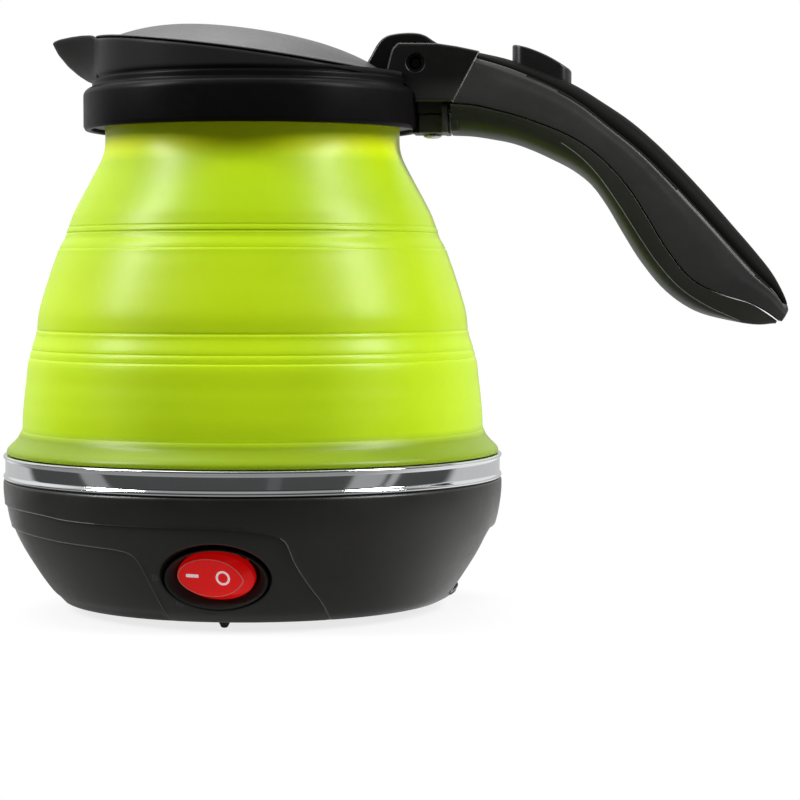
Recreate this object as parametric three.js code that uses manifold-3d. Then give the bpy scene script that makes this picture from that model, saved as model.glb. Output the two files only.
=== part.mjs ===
// Collapsible travel kettle, shown extended, standing on its four small feet.
// Millimetres, +Z up. The origin is the centre of the base plate's underside, on the
// kettle's vertical axis. +X runs along the handle, -X along the spout, and the rocker
// switch faces -Y.
import * as THREE from 'three';
import { mergeVertices } from 'three/addons/utils/BufferGeometryUtils.js';
import Module from 'manifold-3d';

const wasm = await Module();
wasm.setup();

// ---------------------------------------------------------------- driving dimensions
const SEG = 24;                 // facets round the kettle's axis
const GAP = 0.3;                // space left between pieces that touch

const CASING_R = 75.0;          // widest radius of the black base casing
const CASING_TOP = 36.7;        // casing shoulder, under the steel band
const BAND_TOP = 44.0;          // top of the steel band
const PLATE_R = 54.5;           // screwed plate that closes the base
const PLATE_T = 2.5;
const FOOT_H = 2.4;             // feet stand this far below the plate
const FOOT_R = 50.0;            // radius of the circle that the feet are on

const WALL_SIL = 2.5;           // silicone wall
const FOLD_LOW = 76.5;          // lower fold line: the middle tier inverts above it
const FOLD_HIGH = 106.5;        // upper fold line
const TRAVEL = 2 * (FOLD_HIGH - FOLD_LOW);   // how far the head sinks when collapsed

const COLLAR_R = 50.6;          // black collar round the neck
const COLLAR_BOTTOM = 140.4;
const MOUTH_R = 40.2;           // opening in the collar's deck
const SEAM_Z = 161.1;           // lid seam on the axis ...
const SEAM_SLOPE = 0.135;       // ... and its fall per mm towards the handle
const SEAM_TILT = Math.atan(SEAM_SLOPE);

const PIN_X = 49.9;             // lid hinge pin, across the head of the handle
const PIN_Z = 159.7;
const PIN_R = 1.6;
const CHEEK_IN = 8.2;           // hinge cheeks, inner and outer faces
const CHEEK_OUT = 12.0;
const LATCH_X = 72.0;           // pivot of the lid latch inside the handle
const LATCH_Z = 152.5;

const SWITCH_X = -1.2;          // centre of the switch bezel's front face
const SWITCH_Y = -65.4;
const SWITCH_Z = 13.1;
const SWITCH_TILT = 18 * Math.PI / 180;      // the switch faces out and down a little
const ROCKER_TIP = 8 * Math.PI / 180;        // rocker to each side of its middle

// ---------------------------------------------------------------- materials
const mat = (color, roughness, metalness = 0, extra = {}) =>
  new THREE.MeshStandardMaterial({ color, roughness, metalness, ...extra });
const MAT = {
  casing: mat(0x2b2c29, 0.38),
  black: mat(0x1c1b1c, 0.42),
  handle: mat(0x2b2c2c, 0.45),
  silicone: mat(0xb4d41c, 0.5),
  steel: mat(0xb9bcbe, 0.16, 1),
  rocker: mat(0xd41a1a, 0.12),
  bezel: mat(0x30332f, 0.3),
  rubber: mat(0x191919, 0.8),
  brass: mat(0xc8a55a, 0.3, 1),
  alu: mat(0xb4b6b8, 0.4, 1),
  ceramic: mat(0xe8e4d8, 0.5),
  glass: mat(0xffd9c0, 0.05, 0, { transparent: true, opacity: 0.4 }),
  seal: mat(0xd8d8d2, 0.6),
  lead: mat(0x7a3a22, 0.6),
};

// ---------------------------------------------------------------- helpers
const V = (x, y, z) => new THREE.Vector3(x, y, z);

// One closed mesh with shared vertices and its faces pointing out.
function clean(geo) {
  let g = geo.index ? geo.toNonIndexed() : geo.clone();
  for (const k of Object.keys(g.attributes)) if (k !== 'position') g.deleteAttribute(k);
  g = mergeVertices(g, 1e-4);
  const p = g.attributes.position;
  const i0 = g.index.array;
  const tri = [];
  let vol = 0;
  const a = V(), b = V(), c = V();
  for (let i = 0; i < i0.length; i += 3) {
    const [u, v, w] = [i0[i], i0[i + 1], i0[i + 2]];
    if (u === v || v === w || w === u) continue;
    tri.push(u, v, w);
    a.fromBufferAttribute(p, u); b.fromBufferAttribute(p, v); c.fromBufferAttribute(p, w);
    vol += a.dot(b.cross(c));
  }
  if (vol < 0) for (let i = 0; i < tri.length; i += 3) [tri[i], tri[i + 1]] = [tri[i + 1], tri[i]];
  g.setIndex(tri);
  return g;
}

function solid(geo) {
  const g = clean(geo);
  return new wasm.Manifold(new wasm.Mesh({
    numProp: 3,
    vertProperties: new Float32Array(g.attributes.position.array),
    triVerts: new Uint32Array(g.index.array),
  }));
}

function geometryOf(m) {
  const s = m.getMesh();
  const g = new THREE.BufferGeometry();
  const v = new Float32Array((s.vertProperties.length / s.numProp) * 3);
  for (let i = 0, j = 0; i < s.vertProperties.length; i += s.numProp, j += 3) {
    v[j] = s.vertProperties[i]; v[j + 1] = s.vertProperties[i + 1]; v[j + 2] = s.vertProperties[i + 2];
  }
  g.setAttribute('position', new THREE.BufferAttribute(v, 3));
  g.setIndex(Array.from(s.triVerts));
  g.computeVertexNormals();
  return g;
}

// Solid of revolution about Z from an [r, z] outline. An outline that touches the axis
// starts and ends there; any other closes on itself.
function turned(profile, seg = SEG) {
  const pts = profile.map(([r, z]) => new THREE.Vector2(r, z));
  if (profile[0][0] > 0 || profile[profile.length - 1][0] > 0) pts.push(pts[0].clone());
  return new THREE.LatheGeometry(pts, seg).rotateX(Math.PI / 2);
}
const turn = (profile, seg) => solid(turned(profile, seg));

const shapeOf = (pts) => new THREE.Shape(pts.map(([x, y]) => new THREE.Vector2(x, y)));

// Side outline in X and Z, given thickness from y0 to y1.
function sidePlate(pts, y0, y1) {
  const g = new THREE.ExtrudeGeometry(shapeOf(pts), { depth: y1 - y0, bevelEnabled: false });
  return solid(g.rotateX(Math.PI / 2).translate(0, y1, 0));
}

// Plan outline in X and Y, given height from z0 to z1.
function planPlate(pts, z0, z1) {
  const g = new THREE.ExtrudeGeometry(shapeOf(pts), { depth: z1 - z0, bevelEnabled: false });
  return solid(g.translate(0, 0, z0));
}

function box(x0, x1, y0, y1, z0, z1) {
  return solid(new THREE.BoxGeometry(x1 - x0, y1 - y0, z1 - z0)
    .translate((x0 + x1) / 2, (y0 + y1) / 2, (z0 + z1) / 2));
}

// Round bar between two points.
function rod(p0, p1, r, seg = 16, r1 = r) {
  const d = p1.clone().sub(p0);
  const g = new THREE.CylinderGeometry(r1, r, d.length(), seg);
  g.applyQuaternion(new THREE.Quaternion().setFromUnitVectors(V(0, 1, 0), d.clone().normalize()));
  return solid(g.translate((p0.x + p1.x) / 2, (p0.y + p1.y) / 2, (p0.z + p1.z) / 2));
}

// Skin through a row of rings that have the same number of points, closed at both ends.
function loft(rings) {
  const n = rings[0].length;
  const pos = [];
  const tri = [];
  for (const ring of rings) for (const p of ring) pos.push(p.x, p.y, p.z);
  for (let k = 0; k < rings.length - 1; k++) {
    for (let i = 0; i < n; i++) {
      const j = (i + 1) % n;
      const a = k * n + i, b = k * n + j, c = (k + 1) * n + j, d = (k + 1) * n + i;
      tri.push(a, b, c, a, c, d);
    }
  }
  const cap = (k, flip) => {
    const c = V(0, 0, 0);
    rings[k].forEach((p) => c.add(p));
    c.divideScalar(n);
    const m = pos.length / 3;
    pos.push(c.x, c.y, c.z);
    for (let i = 0; i < n; i++) {
      const j = (i + 1) % n;
      if (flip) tri.push(m, k * n + j, k * n + i); else tri.push(m, k * n + i, k * n + j);
    }
  };
  cap(0, true);
  cap(rings.length - 1, false);
  const g = new THREE.BufferGeometry();
  g.setAttribute('position', new THREE.Float32BufferAttribute(pos, 3));
  g.setIndex(tri);
  return g;
}

// Round wire along a smooth curve.
function wire(points, r, steps, sides = 6) {
  const curve = new THREE.CatmullRomCurve3(points, false, 'centripetal');
  const ring = [];
  for (let i = 0; i < sides; i++) {
    const t = i / sides * 2 * Math.PI;
    ring.push([r * Math.cos(t), r * Math.sin(t)]);
  }
  return new THREE.ExtrudeGeometry(shapeOf(ring), { steps, extrudePath: curve, bevelEnabled: false });
}

function helix(centre, axis, radius, length, turns, r, perTurn = 8, sides = 4) {
  const pts = [];
  const n = Math.round(turns * perTurn);
  for (let i = 0; i <= n; i++) {
    const t = i / perTurn * 2 * Math.PI;
    const s = length * i / n;
    pts.push(axis === 'y'
      ? V(centre.x + radius * Math.cos(t), centre.y + s, centre.z + radius * Math.sin(t))
      : V(centre.x + radius * Math.cos(t), centre.y + radius * Math.sin(t), centre.z + s));
  }
  return wire(pts, r, n, sides);
}

const kettle = new THREE.Group();
kettle.name = 'collapsible_kettle';

function add(name, shape, material) {
  const g = shape instanceof THREE.BufferGeometry ? clean(shape) : geometryOf(shape);
  g.computeVertexNormals();
  const m = new THREE.Mesh(g, material);
  m.name = name;
  kettle.add(m);
  return m;
}

const seamZ = (x) => SEAM_Z - SEAM_SLOPE * x;

// ---------------------------------------------------------------- switch frame
// s runs along +X, t up the bezel, n straight out of it.
const SW = {
  c: V(SWITCH_X, SWITCH_Y, SWITCH_Z),
  t: V(0, -Math.sin(SWITCH_TILT), Math.cos(SWITCH_TILT)),
  n: V(0, -Math.cos(SWITCH_TILT), -Math.sin(SWITCH_TILT)),
};
const sw = (s, t, n) => SW.c.clone().add(V(s, 0, 0)).addScaledVector(SW.t, t).addScaledVector(SW.n, n);
function ovalRing(hs, ht, n, dt = 0, count = 24) {
  const ring = [];
  for (let i = 0; i < count; i++) {
    const a = i / count * 2 * Math.PI;
    ring.push(sw(hs * Math.cos(a), dt + ht * Math.sin(a), n));
  }
  return ring;
}
const ovalBar = (hs, ht, n0, n1, count) => solid(loft([ovalRing(hs, ht, n0, 0, count), ovalRing(hs, ht, n1, 0, count)]));
function swBox(s0, s1, t0, t1, n0, n1) {
  const ring = (n) => [sw(s0, t0, n), sw(s1, t0, n), sw(s1, t1, n), sw(s0, t1, n)];
  return solid(loft([ring(n0), ring(n1)]));
}

// ---------------------------------------------------------------- base casing
const casingOutside = [[57, 0], [60.3, 1.8], [63, 4.9], [67, 10.9], [70.6, 17], [73.2, 23], [74.5, 29],
  [CASING_R, 33.5], [CASING_R, CASING_TOP]];
const casingFull = turn([[0, 0], ...casingOutside, [0, CASING_TOP]]);
let casing = turn([[54.8, 0], ...casingOutside, [73.2, CASING_TOP], [73.2, 41], [70.8, 41], [70.8, 34.8],
  [72.3, 33], [71.9, 29.2], [70.7, 23.6], [68.1, 17.6], [64.6, 11.8], [60.9, 6], [58.4, 3.1], [54.8, 3.1]]);

// pocket for the switch
casing = casing.add(ovalBar(17.4, 12.2, -4.0, 14, 24).intersect(casingFull));
casing = casing.add(ovalBar(14.8, 10.2, -6.4, -3.6, 24).intersect(casingFull));
casing = casing.subtract(solid(loft([ovalRing(15.0, 9.7, -1.9), ovalRing(17.4, 12.4, 12, 1.6)])));
casing = casing.subtract(solid(loft([ovalRing(12.9, 8.4, -4.85), ovalRing(15.0, 9.7, -1.3)])));      // conical seat
casing = casing.subtract(ovalBar(12.9, 8.4, -9, 0, 24));

// pocket for the power inlet
const INLET_X = 60.2, INLET_Z0 = 4.2, INLET_Z1 = 22.0;
casing = casing.add(box(55.9, 79, -16.3, 16.3, 2.9, 24.6).intersect(casingFull));
casing = casing.subtract(box(50, 82, -13.8, 13.8, 3.9, 22.3));

// bosses for the plate screws
const SCREW_AT = [45, 135, 225, 315].map((d) => [FOOT_R * Math.cos(d * Math.PI / 180), FOOT_R * Math.sin(d * Math.PI / 180)]);
for (const [x, y] of SCREW_AT) {
  const u = V(x, y, 0).normalize();
  const q = V(-u.y, u.x, 0);
  const rib = (z) => [0, 1, 2, 3].map((i) => V(0, 0, z)
    .addScaledVector(u, i === 0 || i === 3 ? 50 : 66)
    .addScaledVector(q, i < 2 ? -1.2 : 1.2));
  casing = casing.add(solid(loft([rib(3.0), rib(16)])).intersect(casingFull));
  casing = casing.add(rod(V(x, y, 2.8), V(x, y, 16), 3.4, 12));
  casing = casing.subtract(rod(V(x, y, 2), V(x, y, 13), 1.7, 8));
}
add('base_casing', casing, MAT.casing);

// ---------------------------------------------------------------- base plate, feet, screws
let plate = turn([[0, 0], [12, 0], [12.4, 0.4], [44, 0.4], [44.4, 0], [PLATE_R, 0], [PLATE_R, PLATE_T], [0, PLATE_T]]);
for (const [x, y] of SCREW_AT) {
  plate = plate.subtract(rod(V(x, y, -1), V(x, y, 4), 1.7, 8));
  plate = plate.subtract(rod(V(x, y, -1), V(x, y, 1.6), 3.4, 12));
}
const FEET = { foot_right: [FOOT_R, 0], foot_back: [0, FOOT_R], foot_left: [-FOOT_R, 0], foot_front: [0, -FOOT_R] };
for (const [x, y] of Object.values(FEET)) plate = plate.subtract(rod(V(x, y, -1), V(x, y, 4), 1.6, 8));
add('base_plate', plate, MAT.casing);
for (const [name, [x, y]] of Object.entries(FEET)) {
  add(name, turned([[0, -FOOT_H], [1.4, -FOOT_H], [1.9, -GAP], [1.2, -GAP], [1.2, 2.3], [0, 2.3]], 12).translate(x, y, 0), MAT.rubber);
}
SCREW_AT.forEach(([x, y], i) => add(`plate_screw_${i + 1}`,
  turned([[0, 0.3], [2.9, 0.3], [2.9, 1.3], [1.3, 1.3], [1.3, 12.4], [0, 12.4]], 8).translate(x, y, 0), MAT.steel));

// ---------------------------------------------------------------- heating pan and its seals
add('heating_pan', turned([[0, 25], [61, 25], [65.2, 26.8], [67.8, 30.4], [68.6, 36], [68.6, 43], [73.7, 43], [73.7, 37],
  [CASING_R, 37], [CASING_R, 37.9], [74.4, 38.4], [74.4, 42.6], [CASING_R, 43.1], [CASING_R, BAND_TOP],
  [67.6, BAND_TOP], [67.6, 36.2], [66.9, 31], [64.6, 27.8], [60.8, 26], [0, 26]]), MAT.steel);
add('pan_gasket', turned([[69, 41.3], [73.2, 41.3], [73.2, 42.7], [69, 42.7]]), MAT.seal);
add('silicone_clamp_ring', turned([[65.9, 39], [67.2, 39], [67.2, 49], [65.9, 49]]), MAT.steel);

// ---------------------------------------------------------------- silicone body, in three tiers
add('silicone_lower_tier', turned([[67.5, BAND_TOP + GAP], [73.9, BAND_TOP + GAP], [73.9, 45.6], [72.3, 47.3], [70.3, 49.6],
  [69.4, 52.5], [69.0, 57], [68.4, 63], [67.6, 69], [67.0, 73], [66.2, 75.4], [65.0, FOLD_LOW - 0.15],
  [62.4, FOLD_LOW - 0.15], [64.2, 73], [65.1, 69], [65.9, 63], [66.5, 57], [67.0, 52.5], [67.5, 49.6]]), MAT.silicone);
add('silicone_mid_tier', turned([[62.4, FOLD_LOW + 0.15], [65.2, FOLD_LOW + 0.15], [64.7, 81], [64.1, 85.5], [62.9, 90],
  [61.4, 95], [59.8, 100], [58.2, 104.3], [56.7, FOLD_HIGH - 0.15], [54.0, FOLD_HIGH - 0.15], [55.6, 104.3],
  [57.3, 100], [58.9, 95], [60.4, 90], [61.6, 85.5], [62.2, 81]]), MAT.silicone);
add('silicone_upper_tier', turned([[54.0, FOLD_HIGH + 0.15], [56.6, FOLD_HIGH + 0.15], [55.6, 110], [54.4, 114], [51.5, 120],
  [48.2, 126.1], [45.4, 131.6], [44.2, 135.6], [44.2, 145.4], [46.8, 145.4], [46.8, 148.6], [41.7, 148.6],
  [41.7, 135.6], [42.9, 131.6], [45.7, 126.1], [49.0, 120], [51.9, 114], [53.0, 110]]), MAT.silicone);

// ---------------------------------------------------------------- collar with spout
const below = (dz) => {            // everything under the lid seam, raised by dz
  const q = [[-90, 100], [90, 100], [90, seamZ(90) + dz], [-90, seamZ(-90) + dz]];
  return sidePlate(q, -90, 90);
};
let collar = turn([[48.4, COLLAR_BOTTOM], [50.2, COLLAR_BOTTOM], [COLLAR_R, 141.2], [COLLAR_R, 151], [49.6, 152.8],
  [47.2, 153.4], [46.3, 153.8], [46.9, 154.9], [46.3, 156.1], [47.6, 156.4], [47.6, 174], [45.4, 174],
  [45.4, 151.5], [MOUTH_R, 151.5], [MOUTH_R, 148.9], [48.4, 148.9]]);
const beakSide = [[-40, 154.2], [-46.5, 154.3], [-50.3, 155.7], [-53.0, 157.4], [-56.3, 160.2], [-59.3, 163.8],
  [-61.0, 166.9], [-60.8, 167.7], [-59.2, 168.3], [-52, 168.6], [-40, 168.6]];
const beakSideIn = [[-40, 156.4], [-46.0, 156.5], [-48.6, 158.0], [-51.4, 160.0], [-54.9, 163.4], [-57.6, 167.6],
  [-58.4, 172], [-40, 172]];
const beakPlan = [[-42.5, -19.5], [-42.5, 19.5], [-46, 15.5], [-51, 10.2], [-56, 5.5], [-60.0, 2.4], [-61.0, 1.2],
  [-61.0, -1.2], [-60.0, -2.4], [-56, -5.5], [-51, -10.2], [-46, -15.5]];
const beakPlanIn = [[-40, -17.0], [-40, 17.0], [-43.3, 15.6], [-45.6, 13.4], [-50.6, 8.2], [-55.4, 3.6], [-58.0, 1.0],
  [-58.0, -1.0], [-55.4, -3.6], [-50.6, -8.2], [-45.4, -13.4], [-43.3, -15.6]];
const beak = sidePlate(beakSide, -21, 21).intersect(planPlate(beakPlan, 150, 175));
const beakIn = sidePlate(beakSideIn, -21, 21).intersect(planPlate(beakPlanIn, 150, 175));
const bore = turn([[0, 151.5], [45.4, 151.5], [45.4, 175], [0, 175]]);
const lidRoom = turn([[0, 150], [47.8, 150], [47.8, 175], [0, 175]]).subtract(below(0));
collar = collar.intersect(below(0)).add(beak.subtract(bore).subtract(lidRoom)).subtract(beakIn);
// ear that carries the handle
const EAR_TOP = 144.9;
let ear = box(49.0, 59.3, -7.5, 7.5, 139.4, EAR_TOP).add(box(57.6, 59.3, -10.5, 10.5, 139.4, 148));
collar = collar.add(ear);
const SCREW_X = 54.2;
collar = collar.subtract(rod(V(SCREW_X, 0, 138), V(SCREW_X, 0, 146), 1.7, 12));
add('collar', collar, MAT.black);
add('neck_clamp_ring', turned([[44.6, 141.6], [48.1, 141.6], [48.1, 145.1], [44.6, 145.1]]), MAT.black);

let filter = box(-42.6, -41.2, -14.5, 14.5, 151.8, 163.6);
for (const y of [-11.5, -6.9, -2.3, 2.3, 6.9, 11.5]) {
  for (const z of [155.6, 160.2]) filter = filter.subtract(box(-45, -39, y - 1.6, y + 1.6, z - 1.7, z + 1.7));
}
add('spout_filter', filter, MAT.steel);

// ---------------------------------------------------------------- lid
// Height of the lid's skin above the seam: a narrow rim round a crowned dome.
function domeH(x, y) {
  const q2 = (x / 42.5) ** 2 + (y / 43.5) ** 2;
  return 0.95 + 8.5 * Math.max(0, 1 - q2 ** 1.4);
}
function dome(R, base, rise, seg, steps) {
  const rings = steps.length;
  const pos = [], tri = [];
  pos.push(0, 0, seamZ(0) + rise(0, 0));
  for (let k = 1; k <= rings; k++) for (let i = 0; i < seg; i++) {
    const r = steps[k - 1], a = i / seg * 2 * Math.PI;
    const x = r * Math.cos(a), y = r * Math.sin(a);
    pos.push(x, y, seamZ(x) + rise(x, y));
  }
  const at = (k, i) => 1 + (k - 1) * seg + (i % seg);
  for (let i = 0; i < seg; i++) tri.push(0, at(1, i), at(1, i + 1));
  for (let k = 1; k < rings; k++) for (let i = 0; i < seg; i++) {
    tri.push(at(k, i), at(k + 1, i), at(k + 1, i + 1), at(k, i), at(k + 1, i + 1), at(k, i + 1));
  }
  const o = pos.length / 3;
  for (let i = 0; i < seg; i++) {
    const a = i / seg * 2 * Math.PI, x = R * Math.cos(a), y = R * Math.sin(a);
    pos.push(x, y, seamZ(x) + base);
  }
  const m = pos.length / 3;
  pos.push(0, 0, seamZ(0) + base);
  for (let i = 0; i < seg; i++) {
    const j = (i + 1) % seg;
    tri.push(at(rings, i), o + i, o + j, at(rings, i), o + j, at(rings, j));
    tri.push(m, o + j, o + i);
  }
  const g = new THREE.BufferGeometry();
  g.setAttribute('position', new THREE.Float32BufferAttribute(pos, 3));
  g.setIndex(tri);
  return solid(g);
}
const polar = (r, deg) => [PIN_X + r * Math.cos(deg * Math.PI / 180), PIN_Z + r * Math.sin(deg * Math.PI / 180)];
let lid = dome(47.3, GAP, domeH, SEG, [10.8, 21, 31, 40, 47.3])
  .subtract(dome(45.0, -1, (x, y) => domeH(x, y) - 2.2, SEG, [16, 27, 36.5, 45]));
for (const s of [-1, 1]) lid = lid.subtract(box(39.6, 60, s > 0 ? 6.5 : -13.2, s > 0 ? 13.2 : -6.5, 150, 172));
lid = lid.subtract(box(44.5, 60, -8, 8, 150, 172));
const ARCH_R = 9.3, ARCH_END = 25;
const archOutside = [];
for (let d = ARCH_END; d <= 101; d += 19) archOutside.push(polar(ARCH_R, d));
const arm = sidePlate([...archOutside, [45.1, 168.8], [41.2, 168.2], [39.2, 167.0], [37.4, 164.6], [35.6, 161.6],
  [33.0, 160.8], [32.0, 158.4], [36.5, 157.4], [41.0, 156.2], [46.0, 155.9], polar(5.0, 250), polar(5.0, 280),
  polar(5.0, 310), polar(5.0, 340), polar(6.0, ARCH_END)], -7.5, 7.5);
lid = lid.add(arm);
lid = lid.subtract(rod(V(PIN_X, -9, PIN_Z), V(PIN_X, 9, PIN_Z), PIN_R + 0.2, 16));
lid = lid.subtract(rod(V(PIN_X, -9, PIN_Z), V(PIN_X, -2, PIN_Z), 4.0, 16));
// posts that hold the inner plate
const LID_POSTS = [[-22, 16], [-22, -16], [20, 0]];
const tilt = new THREE.Matrix4().makeRotationY(SEAM_TILT).setPosition(0, 0, SEAM_Z);
const tilted = (g) => g.applyMatrix4(tilt);
for (const [x, y] of LID_POSTS) {
  const top = seamZ(x) + domeH(x, y) - 1.0;
  lid = lid.add(rod(V(x, y, seamZ(x) - 1.9), V(x, y, top), 3.2));
  lid = lid.subtract(rod(V(x, y, seamZ(x) - 6), V(x, y, seamZ(x) + 3.6), 1.4, 12));
}
add('lid_cover', lid, MAT.black);
let innerPlate = solid(tilted(turned([[0, -4.4], [34, -4.4], [35, -3.2], [40.6, -3.2], [40.6, -2.4], [0, -2.4]])));
for (const [x, y] of LID_POSTS) innerPlate = innerPlate.subtract(rod(V(x, y, seamZ(x) - 7), V(x, y, seamZ(x) + 1), 1.4, 12));
add('lid_inner_plate', innerPlate, MAT.black);
add('lid_seal', tilted(turned([[37.5, -2.1], [44.7, -2.1], [44.7, -1.0], [43.6, -0.3], [37.5, -0.3]])), MAT.seal);
LID_POSTS.forEach(([x, y], i) => {
  const z = seamZ(x);
  add(`lid_screw_${i + 1}`, turned([[0, -6.2], [2.6, -6.2], [2.6, -5.0], [1.1, -5.0], [1.1, 3.0], [0, 3.0]], 8)
    .translate(x, y, z), MAT.steel);
});

// ---------------------------------------------------------------- handle
// Upper and lower outline of the handle, station by station, with its half width.
const HANDLE = [
  [60.2, 164.6, 60.2, 139.0, 12.0, 5.0], [70.0, 162.9, 67.6, 138.6, 12.0, 4.2],
  [80.1, 160.3, 75.0, 137.3, 12.3, 3.4], [88.6, 157.3, 80.8, 135.6, 12.7, 3.0], [96.2, 153.7, 86.8, 133.2, 13.0, 2.8],
  [104.3, 148.9, 93.4, 130.1, 13.3, 2.7], [112.8, 143.1, 99.6, 126.2, 13.4, 2.7], [120.3, 136.7, 104.0, 120.8, 13.4, 2.7],
  [127.4, 129.7, 108.0, 114.8, 13.3, 2.7], [135.6, 120.9, 112.8, 107.0, 13.1, 2.7],
  [144.0, 111.3, 119.2, 97.6, 12.4, 2.7], [149.7, 104.7, 125.6, 91.0, 11.8, 2.7],
  [155.0, 98.0, 135.4, 85.6, 10.6, 2.6], [158.2, 92.6, 145.6, 83.3, 8.8, 2.5], [159.8, 89.4, 152.2, 82.8, 7.0, 2.4],
  [160.3, 87.2, 157.0, 83.4, 4.6, 2.2],
];
function handleRings(inset, count = 14) {
  return HANDLE.map(([tx, tz, bx, bz, w, e], k) => {
    const T = V(tx, 0, tz), B = V(bx, 0, bz);
    const c = T.clone().add(B).multiplyScalar(0.5);
    const u = T.clone().sub(B);
    const h = Math.max(0.4, u.length() / 2 - inset);
    u.normalize();
    const hw = Math.max(0.4, w - inset);
    const ring = [];
    for (let i = 0; i < count; i++) {
      const a = i / count * 2 * Math.PI;
      const ca = Math.cos(a), sa = Math.sin(a);
      const x = Math.sign(ca) * Math.abs(ca) ** (2 / e) * hw;
      const z = Math.sign(sa) * Math.abs(sa) ** (2 / e) * h;
      ring.push(c.clone().add(V(0, x, 0)).addScaledVector(u, z));
    }
    return ring;
  });
}
const outRings = handleRings(0);
const inRings = handleRings(2.2).slice(0, HANDLE.length - 2);
inRings[0] = inRings[0].map((p) => p.clone().add(V(-3, 0, 0)));
const handleOut = solid(loft(outRings));
const handleIn = solid(loft(inRings));
const frontWall = handleOut.intersect(box(59, 62.6, -20, 20, 130, 150.6));

// the line where the two shells part
const SEAM = [[55, 147.9], [62, 147.7], [69.2, 146.9], [75.3, 145.3], [81.8, 143.4], [87.9, 141.1], [94.4, 138.4],
  [98.8, 135.8], [102.9, 132.9], [109.6, 126.6], [115.4, 119.0], [120.4, 110.9], [125.5, 103.9], [132.3, 97.2],
  [140.6, 92.2], [149.0, 88.9], [155.6, 86.2], [165, 83.6]];
const shift = (pts, d) => pts.map(([x, z], i) => {
  const a = pts[Math.max(0, i - 1)], b = pts[Math.min(pts.length - 1, i + 1)];
  const l = Math.hypot(b[0] - a[0], b[1] - a[1]);
  return [x - (b[1] - a[1]) / l * d, z + (b[0] - a[0]) / l * d];
});
const upSide = sidePlate([...shift(SEAM, 0.15), [190, 84], [190, 190], [50, 190]], -30, 30);
const downSide = sidePlate([...shift(SEAM, -0.15), [165, 60], [50, 60]], -30, 30);

// the line along which the top insert lies in the upper shell
const EDGE = [[64.6, 161.0], [67.5, 160.4], [78.4, 157.2], [90.2, 152.1], [98.6, 147.2], [106.9, 140.9], [115.4, 134.0],
  [123.7, 126.0], [132.1, 117.2], [140.5, 108.1], [148.9, 98.9], [154.4, 92.9]];
const insertTop = [[162, 99], [120, 170], [64.6, 178]];
const insertZone = sidePlate([...EDGE, ...insertTop], -10.2, 10.2);
const insertHole = sidePlate([...shift(EDGE, -0.3).map(([x, z], i) => (i === 0 ? [64.2, z] : (i === EDGE.length - 1 ? [x + 0.35, z - 0.2] : [x, z]))),
  [162.6, 98], [121, 171], [64.2, 179]], -10.5, 10.5);

let upper = handleOut.subtract(handleIn).add(frontWall).intersect(upSide);
upper = upper.subtract(insertHole);
// hinge cheeks
const CHEEK = [[41.2, 157.6], [42.2, 162.5], [43.0, 164.4], [44.5, 165.1], [56, 165.1], [63.5, 164.2], [63.5, 148.3],
  [49.6, 148.3], [48.8, 150.5], [47.2, 152.3], [45.9, 153.0], [43.2, 155.1]];
upper = upper.add(sidePlate(CHEEK, CHEEK_IN, CHEEK_OUT)).add(sidePlate(CHEEK, -CHEEK_OUT, -CHEEK_IN));
upper = upper.subtract(box(55, 64.6, -CHEEK_IN, CHEEK_IN, 150.8, 170));
upper = upper.add(box(51.3, 62.4, -4.5, 4.5, EAR_TOP + GAP, 150.4));      // tongue over the collar's ear
const collarKeep = turn([[0, 130], [50.9, 130], [50.9, 151.2], [49.9, 153.2], [47.9, 153.8], [47.9, 175], [0, 175]]).intersect(below(0.35));
upper = upper.subtract(collarKeep);
upper = upper.subtract(box(56.5, 59.8, -10.9, 10.9, 139, 148.5).subtract(box(56, 60, -4.5, 4.5, 139, 149)));
upper = upper.subtract(box(57.3, 59.6, -4.6, 4.6, 139, 148.3));
upper = upper.subtract(rod(V(PIN_X, -20, PIN_Z), V(PIN_X, 20, PIN_Z), PIN_R + 0.3, 16));
for (const s of [-1, 1]) upper = upper.subtract(rod(V(PIN_X, s * 11.0, PIN_Z), V(PIN_X, s * 14, PIN_Z), 2.7, 16));
upper = upper.subtract(rod(V(SCREW_X, 0, 144), V(SCREW_X, 0, 149), 1.5, 12));
// latch pivot bearings and the roof slot
for (const s of [-1, 1]) {
  const bearing = rod(V(LATCH_X, s * 4.0, LATCH_Z), V(LATCH_X, s * 11.2, LATCH_Z), 3.4, 14);
  upper = upper.add(bearing);
}
upper = upper.subtract(rod(V(LATCH_X, -9.0, LATCH_Z), V(LATCH_X, 9.0, LATCH_Z), 1.5, 12));

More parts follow.
